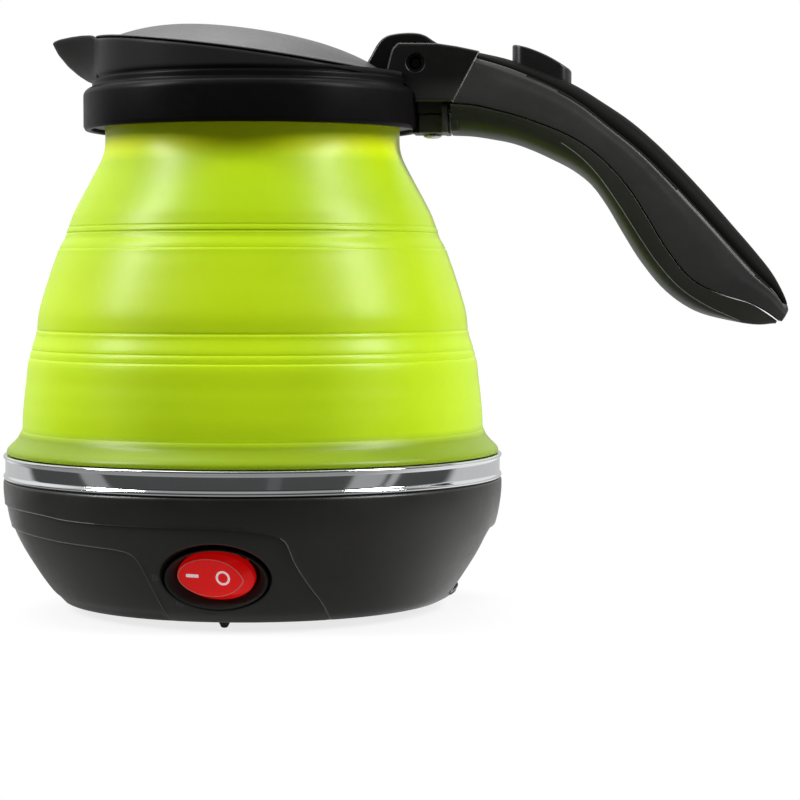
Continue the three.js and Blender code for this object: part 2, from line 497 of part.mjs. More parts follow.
// screws that hold the two shells together
const H_SCREWS = [
  { p: V(107.2, 0, 126.8), u: V(0.695, 0, 0.719) },
  { p: V(131.6, 0, 103.0), u: V(0.86, 0, 0.51) },
];
let lower = handleOut.subtract(handleIn).add(frontWall).intersect(downSide).subtract(box(59, 63, -4.9, 4.9, 144.8, 150));
const on = (s, d) => s.p.clone().addScaledVector(s.u, d);
const LSCREW = [];
for (const s of H_SCREWS) {
  const boss = rod(on(s, -16), on(s, 16), 3.9, 14).intersect(handleOut);
  const v = V(-s.u.z, 0, s.u.x);
  const ring = (y) => [[-4, -1.1], [3.8, -1.1], [3.8, 1.1], [-4, 1.1]].map(([d, w]) => on(s, d).addScaledVector(v, w).add(V(0, y, 0)));
  const rib = solid(loft([ring(-13), ring(13)])).intersect(handleOut);
  upper = upper.add(boss.intersect(upSide).subtract(insertHole)).add(rib.intersect(upSide).subtract(insertHole));
  lower = lower.add(boss.intersect(downSide));
  upper = upper.subtract(rod(on(s, -18), on(s, 5.5), 1.4, 12));
  lower = lower.subtract(rod(on(s, -18), on(s, 8), 1.4, 12));
  lower = lower.subtract(rod(on(s, -20), on(s, -5.6), 2.7, 14));
  LSCREW.push(rod(on(s, -7.4), on(s, -5.9), 2.3, 14).add(rod(on(s, -6.2), on(s, 5), 1.1, 10)));
}
add('handle_upper_shell', upper, MAT.handle);
add('handle_lower_shell', lower, MAT.handle);
LSCREW.forEach((m, i) => add(`handle_screw_${i + 1}`, m, MAT.steel));
let insert = handleOut.intersect(insertZone);
insert = insert.subtract(solid(loft(handleRings(4.4).slice(0, HANDLE.length - 3))));
insert = insert.subtract(box(78.5, 96.3, -6.0, 6.0, 140, 175));
insert = insert.subtract(box(60, 66.6, -3.7, 3.7, 140, 161.3));      // room for the latch's nose
add('handle_top_insert', insert, MAT.handle);

add('bracket_screw', turned([[0, 138.2], [2.7, 138.2], [2.7, 139.1], [1.2, 139.1], [1.2, 148.2], [0, 148.6]], 12)
  .translate(SCREW_X, 0, 0), MAT.steel);
add('lid_hinge_pin', rod(V(PIN_X, -11.8, PIN_Z), V(PIN_X, 11.8, PIN_Z), PIN_R, 16), MAT.steel);
add('lid_spring', helix(V(PIN_X, -7.0, PIN_Z), 'y', 2.9, 4.4, 4, 0.45), MAT.steel);

// lid release: button, latch lever and its pivot and spring
const BUTTON = [[79.0, 165.3], [80.4, 165.3], [85.3, 163.8], [90.3, 161.5], [94.9, 158.6], [95.7, 157.6], [95.7, 151.0], [79.0, 151.0]];
let button = sidePlate(BUTTON, -5.5, 5.5);
button = button.subtract(box(80.8, 94.0, -3.9, 3.9, 150, 155.4));
button = button.add(box(86.8, 89.2, -3.9, 3.9, 151.0, 156));
add('lid_release_button', button, MAT.handle);
const LEVER = [[59.5, 160.4], [59.6, 162.6], [61.6, 162.0], [63.2, 159.3], [66.0, 156.6], [70.2, 155.5], [73.6, 155.4],
  [76.0, 152.6], [80.0, 148.9], [86.7, 147.8], [87.0, 150.7], [89.0, 150.7], [89.4, 147.4], [89.4, 145.4], [80.0, 146.4],
  [74.4, 149.4], [71.6, 149.3], [69.0, 151.4], [66.7, 154.0], [62.6, 157.3]];
let lever = sidePlate(LEVER, -3.0, 3.0);
lever = lever.subtract(rod(V(LATCH_X, -6, LATCH_Z), V(LATCH_X, 6, LATCH_Z), 1.5, 12));
add('latch_lever', lever, MAT.steel);
add('latch_pin', rod(V(LATCH_X, -8.6, LATCH_Z), V(LATCH_X, 8.6, LATCH_Z), 1.2, 12), MAT.steel);
add('latch_spring', helix(V(85.4, 0, 137.4), 'z', 2.6, 7.2, 4, 0.4), MAT.steel);

// ---------------------------------------------------------------- heater and controls under the pan
add('heat_spreader', turned([[0, 22], [45, 22], [45, 24.7], [0, 24.7]]), MAT.alu);
const arc = [];
for (let d = 30; d <= 330; d += 20) arc.push(V(33 * Math.cos(d * Math.PI / 180), 33 * Math.sin(d * Math.PI / 180), 18.3));
const e0 = arc[0], e1 = arc[arc.length - 1];
arc.unshift(V(e0.x + 2.2, e0.y - 3.4, 9.6), V(e0.x + 2.2, e0.y - 3.4, 14));
arc.push(V(e1.x + 2.2, e1.y + 3.4, 14), V(e1.x + 2.2, e1.y + 3.4, 9.6));
add('heating_element', wire(arc, 3.2, 26, 8), MAT.steel);
add('thermostat', turned([[0, 9.4], [9, 9.4], [9, 16.6], [12.5, 16.6], [12.5, 21.7], [0, 21.7]], 24), MAT.ceramic);
add('thermal_fuse', rod(V(-21, -8, 19.0), V(-21, 8, 19.0), 2.4, 12), MAT.ceramic);

// ---------------------------------------------------------------- power inlet
let inlet = box(42.4, INLET_X, -13.5, 13.5, INLET_Z0, INLET_Z1);
inlet = inlet.subtract(box(45.0, 64, -12.1, 12.1, 5.5, 20.7));
const PINS = { inlet_pin_live: [-7, 11.0], inlet_pin_neutral: [7, 11.0], inlet_pin_earth: [0, 15.4] };
for (const [y, z] of Object.values(PINS)) inlet = inlet.subtract(box(40, 50, y - 1.3, y + 1.3, z - 2.3, z + 2.3));
add('power_inlet', inlet, MAT.casing);
for (const [name, [y, z]] of Object.entries(PINS)) {
  add(name, solid(loft([[37, 1.0, 2.0], [56.4, 1.0, 2.0], [57.4, 0.5, 1.5]].map(([x, a, b]) =>
    [V(x, y - a, z - b), V(x, y + a, z - b), V(x, y + a, z + b), V(x, y - a, z + b)]))), MAT.brass);
}

// ---------------------------------------------------------------- leads inside the base
const LEADS = {
  lead_live: [[36.2, -7, 11], [34.6, -7.6, 9.6], [35, -18, 5.4], [22, -36, 5.2], [2, -42.5, 5.4], [-7.4, -43.2, 13.0], [-7.4, -44.9, 19.4]],
  lead_switched: [[0, -44.9, 19.4], [-0.6, -40.5, 14], [-13, -29, 9], [-20.0, -16, 11], [-21, -12.4, 17.5], [-21, -9.0, 19]],
  lead_fuse: [[-21, 9.0, 19], [-20.5, 13.5, 16], [-14, 15.4, 12], [-9.4, 10.9, 12.6], [-6.6, 7.6, 13]],
  lead_element: [[6.4, -7.4, 13], [10, -11.5, 10.5], [20, -15.6, 7], [27.8, -15, 5.2], [30.8, -13.1, 6.2], [30.8, -13.1, 9.2]],
  lead_neutral: [[36.4, 7, 11], [34.0, 7.8, 9.4], [32, 11.0, 5.6], [30.9, 13.1, 6.2], [30.8, 13.1, 9.2]],
  lead_earth: [[36.6, 0, 15.4], [32, 0, 14.2], [26, 0, 16.4], [24, 0, 19], [24, 0, 21.6]],
};
for (const [name, pts] of Object.entries(LEADS)) add(name, wire(pts.map((p) => V(...p)), 1.1, 10, 5), MAT.lead);

// ---------------------------------------------------------------- rocker switch
let housing = solid(loft([ovalRing(12.5, 8.0, -13.4), ovalRing(12.5, 8.0, -4.8), ovalRing(14.5, 9.2, -1.4), ovalRing(14.5, 9.2, 0)]));
housing = housing.subtract(solid(loft([ovalRing(11.8, 7.4, -11.8), ovalRing(11.8, 7.4, -3.4), ovalRing(14.15, 8.9, 0.2)])));      // dished front
const TERMS = [-7.4, 0, 7.4];
for (const s of TERMS) housing = housing.subtract(swBox(s - 0.8, s + 0.8, -2.7, 2.7, -16, -11));
add('switch_housing', housing, MAT.bezel);
TERMS.forEach((s, i) => add(`switch_terminal_${i + 1}`, swBox(s - 0.4, s + 0.4, -2.3, 2.3, -20, i === 2 ? -10.6 : -9.2), MAT.brass));

// The rocker turns about the switch's own upright line, 4.6 mm behind the bezel's front.
const HINGE_N = -4.6;
const rockerRing = (hs, ht, n) => ovalRing(hs, ht, n, 0, 20);
let rocker = solid(loft([rockerRing(8.0, 5.2, -7.6), rockerRing(10.4, 6.2, -6.0), rockerRing(10.8, 6.7, -4.0),
  rockerRing(10.8, 6.7, -1.6), rockerRing(10.2, 6.2, -0.5), rockerRing(6.4, 3.2, 0)]));
const hingeAt = sw(0, 0, HINGE_N);
const tip = new THREE.Matrix4().makeTranslation(hingeAt.x, hingeAt.y, hingeAt.z)
  .multiply(new THREE.Matrix4().makeRotationAxis(SW.t, -ROCKER_TIP))
  .multiply(new THREE.Matrix4().makeTranslation(-hingeAt.x, -hingeAt.y, -hingeAt.z));
add('switch_rocker', geometryOf(rocker).applyMatrix4(tip), MAT.rocker);
add('switch_lamp', rod(sw(3.7, -4.0, -10.2), sw(3.7, 4.0, -10.2), 1.2, 8), MAT.glass);

export default kettle;
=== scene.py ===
import math

import bpy
import numpy as np
from mathutils import Matrix, Vector
from mathutils.geometry import delaunay_2d_cdt


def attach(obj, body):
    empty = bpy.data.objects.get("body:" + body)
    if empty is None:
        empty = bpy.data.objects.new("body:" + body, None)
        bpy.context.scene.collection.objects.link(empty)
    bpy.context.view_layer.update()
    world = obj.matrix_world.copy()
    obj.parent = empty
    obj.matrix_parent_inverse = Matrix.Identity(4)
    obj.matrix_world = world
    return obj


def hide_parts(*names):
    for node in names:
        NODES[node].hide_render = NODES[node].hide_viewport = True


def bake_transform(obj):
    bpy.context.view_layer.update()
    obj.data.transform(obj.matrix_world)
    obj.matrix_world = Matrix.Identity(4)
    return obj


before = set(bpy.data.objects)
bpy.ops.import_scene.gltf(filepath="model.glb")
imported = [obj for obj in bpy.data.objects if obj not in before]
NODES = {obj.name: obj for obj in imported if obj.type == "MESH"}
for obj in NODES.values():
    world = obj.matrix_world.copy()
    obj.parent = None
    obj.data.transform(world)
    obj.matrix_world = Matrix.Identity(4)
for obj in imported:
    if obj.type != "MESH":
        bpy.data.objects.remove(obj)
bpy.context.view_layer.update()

# Lengths below are millimetres in the kettle's own frame; make() turns them into metres.
MM = 0.001
PI = math.pi

# ------------------------------------------------------------------ driving sizes
FOOT_H = 2.4
CASING_TOP = 36.7
BAND_TOP = 44.0
SEAM_Z, SEAM_SLOPE = 161.1, 0.135
PIN_X, PIN_Z = 49.9, 159.7
LATCH = (72.0, 152.5)
SW_C = np.array([-1.2, -65.4, 13.1])
SW_TILT = math.radians(18)
SW_T = np.array([0.0, -math.sin(SW_TILT), math.cos(SW_TILT)])
SW_N = np.array([0.0, -math.cos(SW_TILT), -math.sin(SW_TILT)])
SW_S = np.array([1.0, 0.0, 0.0])
ROCK = math.radians(8)


def seam_z(x):
    return SEAM_Z - SEAM_SLOPE * x


# ================================================================== materials
def new_mat(name):
    m = bpy.data.materials.new(name)
    m.use_nodes = True
    nt = m.node_tree
    for n in list(nt.nodes):
        nt.nodes.remove(n)
    out = nt.nodes.new("ShaderNodeOutputMaterial")
    b = nt.nodes.new("ShaderNodeBsdfPrincipled")
    nt.links.new(b.outputs[0], out.inputs[0])
    return m, nt, b


def math_node(nt, op, a, b=None):
    n = nt.nodes.new("ShaderNodeMath")
    n.operation = op
    for k, x in enumerate((a, b)):
        if x is None:
            continue
        if isinstance(x, (int, float)):
            n.inputs[k].default_value = x
        else:
            nt.links.new(x, n.inputs[k])
    return n.outputs[0]


def rise(nt, value, a, b, lo=0.0, hi=1.0, smooth=True):
    n = nt.nodes.new("ShaderNodeMapRange")
    for k, val in (("From Min", a), ("From Max", b), ("To Min", lo), ("To Max", hi)):
        n.inputs[k].default_value = val
    if smooth:
        n.interpolation_type = "SMOOTHSTEP"
    nt.links.new(value, n.inputs["Value"])
    return n.outputs[0]


def put(node, **values):
    for k, v in values.items():
        node.inputs[k.replace("_", " ")].default_value = v


def noise(nt, vec, scale, detail=3.0, rough=0.5, dist=0.0):
    n = nt.nodes.new("ShaderNodeTexNoise")
    n.inputs["Scale"].default_value = scale
    n.inputs["Detail"].default_value = detail
    n.inputs["Roughness"].default_value = rough
    n.inputs["Distortion"].default_value = dist
    nt.links.new(vec, n.inputs["Vector"])
    return n


def coords(nt, scale=(1, 1, 1)):
    tc = nt.nodes.new("ShaderNodeTexCoord")
    mp = nt.nodes.new("ShaderNodeMapping")
    mp.inputs["Scale"].default_value = scale
    nt.links.new(tc.outputs["Object"], mp.inputs["Vector"])
    return mp.outputs[0]


def spread(nt, value, lo, hi, a=0.3, b=0.7):
    """Maps a noise value from [a, b] to [lo, hi]."""
    r = nt.nodes.new("ShaderNodeMapRange")
    r.inputs["From Min"].default_value = a
    r.inputs["From Max"].default_value = b
    r.inputs["To Min"].default_value = lo
    r.inputs["To Max"].default_value = hi
    nt.links.new(value, r.inputs["Value"])
    return r.outputs[0]


def ramp(nt, value, stops):
    r = nt.nodes.new("ShaderNodeValToRGB")
    e = r.color_ramp.elements
    while len(e) < len(stops):
        e.new(0.5)
    for el, (p, c) in zip(e, stops):
        el.position = p
        el.color = (*c, 1.0)
    nt.links.new(value, r.inputs["Fac"])
    return r.outputs["Color"]


def bump(nt, layers, bsdf):
    """layers: (height value, distance in metres, strength)."""
    last = None
    for h, dist, strength in layers:
        n = nt.nodes.new("ShaderNodeBump")
        n.inputs["Distance"].default_value = dist
        n.inputs["Strength"].default_value = strength
        nt.links.new(h, n.inputs["Height"])
        if last is not None:
            nt.links.new(last, n.inputs["Normal"])
        last = n.outputs["Normal"]
    nt.links.new(last, bsdf.inputs["Normal"])
    return last


def edge_wear(nt, lo, hi):
    """0 on flat and hollow places, 1 on outward edges."""
    g = nt.nodes.new("ShaderNodeNewGeometry")
    return spread(nt, g.outputs["Pointiness"], 0.0, 1.0, lo, hi)


def height_mm(nt, axis="Z"):
    """The piece's own coordinate along an axis, in millimetres."""
    tc = nt.nodes.new("ShaderNodeTexCoord")
    sep = nt.nodes.new("ShaderNodeSeparateXYZ")
    nt.links.new(tc.outputs["Object"], sep.inputs[0])
    return math_node(nt, "MULTIPLY", sep.outputs[axis], 1000.0)


def tint(nt, base, other, fac):
    """Blend of two colours by a value."""
    n = nt.nodes.new("ShaderNodeMix")
    n.data_type = "RGBA"
    nt.links.new(base, n.inputs[6])
    if isinstance(other, tuple):
        n.inputs[7].default_value = (*other, 1)
    else:
        nt.links.new(other, n.inputs[7])
    nt.links.new(fac, n.inputs[0])
    return n.outputs[2]


def plastic(name, dark, light, rough, grain=2600.0, grain_depth=0.000012, grain_strength=0.35,
            rough_var=0.05, spec=0.5, coat=0.0, wear=None, broad=55.0, edges=None, zones=None):
    """Moulded plastic: fine spark-eroded grain, slow drifts in tone and gloss, polished edges."""
    m, nt, b = new_mat(name)
    v = coords(nt)
    big = noise(nt, v, broad, 4.0, 0.55)
    mid = noise(nt, v, broad * 9, 3.0, 0.6)
    fine = noise(nt, v, grain, 2.0, 0.6)
    col = ramp(nt, big.outputs["Fac"], [(0.3, dark), (0.72, light)])
    mix = nt.nodes.new("ShaderNodeMix")
    mix.data_type = "RGBA"
    mix.blend_type = "MIX"
    nt.links.new(col, mix.inputs[6])
    mix.inputs[7].default_value = (*(wear or [c * 1.6 for c in light]), 1)
    nt.links.new(spread(nt, mid.outputs["Fac"], 0.0, 0.22, 0.55, 0.8), mix.inputs[0])
    tone = mix.outputs[2]
    if edges:                                   # rubbed outward edges
        lo, hi, shine = edges
        rub = nt.nodes.new("ShaderNodeMix")
        rub.data_type = "RGBA"
        nt.links.new(tone, rub.inputs[6])
        rub.inputs[7].default_value = (*shine, 1)
        nt.links.new(edge_wear(nt, lo, hi), rub.inputs[0])
        tone = rub.outputs[2]
    if zones:                                   # parts of the moulding with their own tone, or with painted shade and highlights
        tone = zones(nt, tone)
    nt.links.new(tone, b.inputs["Base Color"])
    add = nt.nodes.new("ShaderNodeMath")
    add.operation = "ADD"
    nt.links.new(spread(nt, big.outputs["Fac"], rough - rough_var, rough + rough_var), add.inputs[0])
    nt.links.new(spread(nt, mid.outputs["Fac"], -0.02, 0.03), add.inputs[1])
    nt.links.new(add.outputs[0], b.inputs["Roughness"])
    put(b, Specular_IOR_Level=spec)
    if coat:
        put(b, Coat_Weight=coat, Coat_Roughness=0.12)
    bump(nt, [(fine.outputs["Fac"], grain_depth, grain_strength), (mid.outputs["Fac"], 0.00001, 0.12)], b)
    return m


MAT = {}
def casing_upper_shade(nt, tone):
    """Painted shade: the upper part of the bowl is darkened, leaving the lower part lighter as if lit by the floor."""
    return tint(nt, tone, (0.0060, 0.0055, 0.0048), rise(nt, height_mm(nt), 20.0, 32.0, 0.0, 0.62))


MAT["casing"] = plastic("casing_black_abs", (0.0185, 0.0180, 0.0160), (0.0235, 0.0230, 0.0205), 0.34,
                        grain=3200, grain_depth=0.000006, grain_strength=0.18, spec=0.40, zones=casing_upper_shade)
# painted highlight: light grey for the thin highlight lines along the casing's steps
MAT["edge"] = plastic("painted_step_highlight", (0.085, 0.085, 0.080), (0.120, 0.120, 0.115), 0.38,
                      grain=3200, grain_depth=0.000006, grain_strength=0.18, spec=0.5)
# painted highlight: light grey for thin highlight lines on the handle
MAT["line"] = plastic("painted_highlight_line", (0.26, 0.26, 0.25), (0.34, 0.34, 0.33), 0.34,
                      grain=3200, grain_depth=0.000004, grain_strength=0.12, spec=0.5)


def collar_zones(nt, tone):
    """The slanted wall is a little greyer than the glossier band below it."""
    tone = tint(nt, tone, (0.0205, 0.0202, 0.0202), rise(nt, height_mm(nt), 155.6, 156.8, 0.0, 1.0))
    ear = math_node(nt, "MULTIPLY", rise(nt, height_mm(nt, "X"), 50.7, 50.9), rise(nt, height_mm(nt), 148.0, 148.6, 1.0, 0.0))
    return tint(nt, tone, (0.060, 0.060, 0.056), ear)


MAT["collar"] = plastic("collar_grained_black", (0.0044, 0.0038, 0.0039), (0.0060, 0.0053, 0.0054), 0.36,
                        grain=2300, grain_depth=0.00002, grain_strength=0.6, spec=0.07, zones=collar_zones)
MAT["lid"] = plastic("lid_matt_black", (0.015, 0.015, 0.0145), (0.022, 0.022, 0.0215), 0.5,
                     grain=1500, grain_depth=0.00005, grain_strength=0.9, spec=0.62)
MAT["gloss"] = plastic("hinge_gloss_black", (0.004, 0.004, 0.0038), (0.0058, 0.0058, 0.0054), 0.26,
                       grain=4000, grain_depth=0.000003, grain_strength=0.1, spec=0.25)


def handle_shade_and_highlight(nt, tone):
    """Painted shade and highlight: the hinge cheeks are darkened, more so near their top, and a light line is painted
    along the slanting joint.
    """
    x, z = height_mm(nt, "X"), height_mm(nt, "Z")
    d = math_node(nt, "SUBTRACT", math_node(nt, "MULTIPLY", math_node(nt, "SUBTRACT", x, 60.55), 0.8829),
                  math_node(nt, "MULTIPLY", math_node(nt, "SUBTRACT", z, 147.9), 0.4696))
    up = rise(nt, z, 149.0, 156.5, 0.20, 0.92)
    cheek = math_node(nt, "MULTIPLY", rise(nt, d, -0.05, 0.05, 1.0, 0.0), up)
    # painted shade on the hinge cheeks
    tone = tint(nt, tone, (0.0022, 0.0022, 0.0020), cheek)
    # painted highlight: a light line along the slanting joint
    line = rise(nt, math_node(nt, "ABSOLUTE", math_node(nt, "SUBTRACT", d, 0.14)), 0.10, 0.22, 1.0, 0.0)
    return tint(nt, tone, (0.36, 0.36, 0.35), line)


MAT["handle"] = plastic("handle_satin_black", (0.0345, 0.0345, 0.0340), (0.0420, 0.0420, 0.0410), 0.42,
                        grain=3000, grain_depth=0.000006, grain_strength=0.2, spec=0.22, zones=handle_shade_and_highlight)
MAT["lower"] = plastic("handle_lower_satin_black", (0.0240, 0.0250, 0.0190), (0.0290, 0.0300, 0.0240), 0.42,
                       grain=3000, grain_depth=0.000006, grain_strength=0.2, spec=0.26)
MAT["key"] = plastic("release_key_black", (0.0060, 0.0060, 0.0060), (0.0085, 0.0085, 0.0083), 0.36,
                     grain=3000, grain_depth=0.000006, grain_strength=0.2, spec=0.3)
# the crown insert's own black; also painted as shade on the grip's shoulder under the ledge
MAT["insert"] = plastic("handle_insert_black_and_painted_shade", (0.0046, 0.0044, 0.0040), (0.0066, 0.0064, 0.0058), 0.60,
                        grain=2600, grain_depth=0.00001, grain_strength=0.3, spec=0.05)
MAT["bezel"] = plastic("switch_bezel", (0.022, 0.0315, 0.0290), (0.027, 0.0385, 0.035), 0.45,
                       grain=3600, grain_depth=0.000005, grain_strength=0.15, spec=0.12)
MAT["inner"] = plastic("inner_black_plastic", (0.012, 0.012, 0.012), (0.018, 0.018, 0.018), 0.45,
                       grain=2200, grain_depth=0.00001, grain_strength=0.3)
MAT["plate"] = plastic("base_plate_black", (0.011, 0.011, 0.0105), (0.015, 0.015, 0.0145), 0.5,
                       grain=1500, grain_depth=0.00003, grain_strength=0.6)


def silicone_mat():
    """Dyed silicone rubber: translucent, powder-soft highlight, faint flow marks."""
    m, nt, b = new_mat("silicone_lime")
    v = coords(nt)
    big = noise(nt, v, 22.0, 4.0, 0.5)
    mid = noise(nt, v, 240.0, 3.0, 0.6)
    fine = noise(nt, v, 2600.0, 2.0, 0.55)
    col = ramp(nt, big.outputs["Fac"], [(0.28, (0.455, 0.655, 0.0040)), (0.75, (0.505, 0.700, 0.0060))])
    dust = nt.nodes.new("ShaderNodeMix")
    dust.data_type = "RGBA"
    nt.links.new(col, dust.inputs[6])
    dust.inputs[7].default_value = (0.56, 0.73, 0.03, 1)
    nt.links.new(spread(nt, mid.outputs["Fac"], 0.0, 0.10, 0.5, 0.8), dust.inputs[0])
    # painted light and shade by height: deeper in tone low down, where the flange is darkened, and paler at the neck,
    # which is brightened against the collar's shadow
    place = rise(nt, height_mm(nt), 44.0, 148.0, 0.0, 1.0, False)
    depth = ramp(nt, place, [(0.0, (0.46, 0.48, 0.4)), (0.055, (0.50, 0.52, 0.5)), (0.085, (1.08, 1.12, 1.0)), (0.25, (1.10, 1.13, 1.0)),
                             (0.46, (1.02, 1.03, 0.9)), (0.73, (0.87, 0.92, 0.5)), (0.83, (0.95, 1.00, 0.3)), (0.88, (1.60, 1.42, 0.3))])
    shade = nt.nodes.new("ShaderNodeMix")
    shade.data_type = "RGBA"
    shade.blend_type = "MULTIPLY"
    shade.inputs[0].default_value = 1.0
    nt.links.new(dust.outputs[2], shade.inputs[6])
    nt.links.new(depth, shade.inputs[7])
    nt.links.new(shade.outputs[2], b.inputs["Base Color"])
    nt.links.new(spread(nt, big.outputs["Fac"], 0.33, 0.40), b.inputs["Roughness"])
    put(b, Subsurface_Weight=0.35, Subsurface_Radius=(0.6, 0.9, 0.05), Subsurface_Scale=0.006, Specular_IOR_Level=0.27)
    bump(nt, [(fine.outputs["Fac"], 0.00001, 0.2), (mid.outputs["Fac"], 0.00002, 0.12)], b)
    return m


MAT["silicone"] = silicone_mat()


def metal(name, colour, rough, lines=0.0, line_axis="Z", var=0.03, grain=900.0, depth=0.000004):
    """Drawn or turned metal: hairlines round the part, small changes of gloss, light smudges."""
    m, nt, b = new_mat(name)
    v = coords(nt)
    smudge = noise(nt, v, 70.0, 4.0, 0.6)
    fine = noise(nt, v, grain, 2.0, 0.6)
    col = ramp(nt, smudge.outputs["Fac"], [(0.3, tuple(c * 0.94 for c in colour)), (0.7, colour)])
    nt.links.new(col, b.inputs["Base Color"])
    nt.links.new(spread(nt, smudge.outputs["Fac"], rough, rough + var), b.inputs["Roughness"])
    put(b, Metallic=1.0)
    layers = [(fine.outputs["Fac"], depth, 0.15)]
    if lines:
        streak = coords(nt, (30, 30, 2400) if line_axis == "Z" else (2400, 2400, 30))
        s = noise(nt, streak, 1.0, 2.0, 0.5)
        layers.append((s.outputs["Fac"], 0.000004, lines))
    bump(nt, layers, b)
    return m


MAT["steel"] = metal("pan_polished_steel", (0.80, 0.82, 0.83), 0.07, lines=0.10)
MAT["satin_steel"] = metal("satin_steel", (0.62, 0.63, 0.64), 0.28, lines=0.2)
MAT["screw"] = metal("screw_zinc", (0.55, 0.56, 0.56), 0.26, var=0.1)
MAT["dark_steel"] = metal("pin_blackened", (0.035, 0.035, 0.036), 0.35, var=0.1)
MAT["brass"] = metal("contact_brass", (0.70, 0.50, 0.20), 0.24, var=0.1)
MAT["nickel"] = metal("pin_nickel", (0.66, 0.64, 0.58), 0.18, var=0.08)
MAT["alu"] = metal("spreader_aluminium", (0.70, 0.71, 0.72), 0.38, var=0.12)


def rocker_mat():
    m, nt, b = new_mat("rocker_red_polycarbonate")
    v = coords(nt)
    big = noise(nt, v, 160.0, 3.0, 0.5)
    fine = noise(nt, v, 2400.0, 2.0, 0.5)
    col = ramp(nt, big.outputs["Fac"], [(0.3, (0.84, 0.0065, 0.0060)), (0.7, (0.90, 0.0090, 0.0080))])
    nt.links.new(col, b.inputs["Base Color"])
    nt.links.new(spread(nt, big.outputs["Fac"], 0.13, 0.19), b.inputs["Roughness"])
    # painted glow: a weak red emission stands in for light inside the translucent rocker
    put(b, Subsurface_Weight=0.45, Subsurface_Radius=(1.0, 0.05, 0.03), Subsurface_Scale=0.0025,
        Specular_IOR_Level=0.32, Coat_Weight=0.08, Coat_Roughness=0.06, Emission_Color=(1.0, 0.004, 0.004, 1), Emission_Strength=0.27)
    bump(nt, [(fine.outputs["Fac"], 0.000004, 0.12), (big.outputs["Fac"], 0.00001, 0.08)], b)
    return m


MAT["rocker"] = rocker_mat()


def simple(name, c0, c1, rough, scale=200.0, depth=0.00001, **more):
    m, nt, b = new_mat(name)
    v = coords(nt)
    n1 = noise(nt, v, scale, 4.0, 0.6)
    n2 = noise(nt, v, scale * 8, 2.0, 0.6)
    nt.links.new(ramp(nt, n1.outputs["Fac"], [(0.3, c0), (0.7, c1)]), b.inputs["Base Color"])
    nt.links.new(spread(nt, n1.outputs["Fac"], rough - 0.05, rough + 0.05), b.inputs["Roughness"])
    put(b, **more)
    bump(nt, [(n2.outputs["Fac"], depth, 0.4)], b)
    return m


MAT["rubber"] = simple("foot_rubber", (0.006, 0.006, 0.006), (0.011, 0.011, 0.0105), 0.75, 400, 0.00002)
MAT["ceramic"] = simple("ceramic", (0.72, 0.69, 0.60), (0.80, 0.77, 0.70), 0.5, 300, 0.00001)
MAT["seal"] = simple("seal_silicone", (0.52, 0.52, 0.49), (0.60, 0.60, 0.57), 0.5, 150, 0.00001,
                     Subsurface_Weight=0.3, Subsurface_Radius=(1, 1, 1), Subsurface_Scale=0.002)
# painted glow: a faint emission keeps the white marks bright
MAT["paint"] = simple("mark_white", (0.83, 0.80, 0.81), (0.90, 0.88, 0.89), 0.4, 500, 0.000003,
                      Emission_Color=(1.0, 0.90, 0.92, 1), Emission_Strength=0.30)
# painted highlight: a pale pink rim stands for the highlight along the edge of the rocker's face
MAT["rocker_rim"] = simple("rocker_rim_painted_highlight", (0.72, 0.30, 0.22), (0.82, 0.42, 0.30), 0.3, 500, 0.000003)
MAT["glass"] = simple("lamp_glass", (0.95, 0.72, 0.55), (1.0, 0.80, 0.66), 0.06, 200, 0.000002,
                      Transmission_Weight=0.8, IOR=1.45)
LEAD_COLOURS = {"lead_live": (0.20, 0.075, 0.03), "lead_switched": (0.20, 0.075, 0.03),
                "lead_fuse": (0.20, 0.075, 0.03), "lead_element": (0.20, 0.075, 0.03),
                "lead_neutral": (0.02, 0.09, 0.42), "lead_earth": (0.35, 0.42, 0.03)}
for k, c in LEAD_COLOURS.items():
    MAT[k] = simple("sleeve_" + k, tuple(x * 0.85 for x in c), c, 0.42, 300, 0.00001)


# ================================================================== mesh helpers
def make(name, verts, faces, mat, body, slot=None, replaces=(), sharp=32.0, weld=1e-5, loose=False):
    """A piece from points in millimetres and faces. Shared points are welded, normals point out."""
    import bmesh
    me = bpy.data.meshes.new(name)
    v = (np.asarray(verts, float) * MM).tolist()
    me.from_pydata(v, [], [list(map(int, f)) for f in faces])
    bm = bmesh.new()
    bm.from_mesh(me)
    if weld:
        bmesh.ops.remove_doubles(bm, verts=bm.verts, dist=weld)
        bmesh.ops.dissolve_degenerate(bm, edges=bm.edges, dist=1e-7)
    if not loose:
        bmesh.ops.recalc_face_normals(bm, faces=bm.faces)
        if all(len(e.link_faces) == 2 for e in bm.edges) and bm.calc_volume(signed=True) < 0:
            bmesh.ops.reverse_faces(bm, faces=bm.faces)
    bm.to_mesh(me)
    bm.free()
    me.update()
    me.polygons.foreach_set("use_smooth", [True] * len(me.polygons))
    me.set_sharp_from_angle(angle=math.radians(sharp))
    me.materials.append(mat)
    ob = bpy.data.objects.new(name, me)
    bpy.context.scene.collection.objects.link(ob)
    if body:
        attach(ob, body)
    if replaces:
        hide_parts(*replaces)
    return ob


def mark_faces(ob, mat, lines, tol):
    """Gives the faces that lie along some lines (millimetres) a second material."""
    from mathutils.kdtree import KDTree
    pts = []
    for l in lines:
        l = np.asarray(l, float)
        for a, b in zip(l[:-1], l[1:]):
            m = max(1, int(np.linalg.norm(b - a) / 0.06))
            pts += [a + (b - a) * t / m for t in range(m)]
        pts.append(l[-1])
    kd = KDTree(len(pts))
    for i, p in enumerate(pts):
        kd.insert(Vector(p), i)
    kd.balance()
    ob.data.materials.append(mat)
    k = len(ob.data.materials) - 1
    for f in ob.data.polygons:
        if kd.find(f.center / MM)[2] < tol:
            f.material_index = k


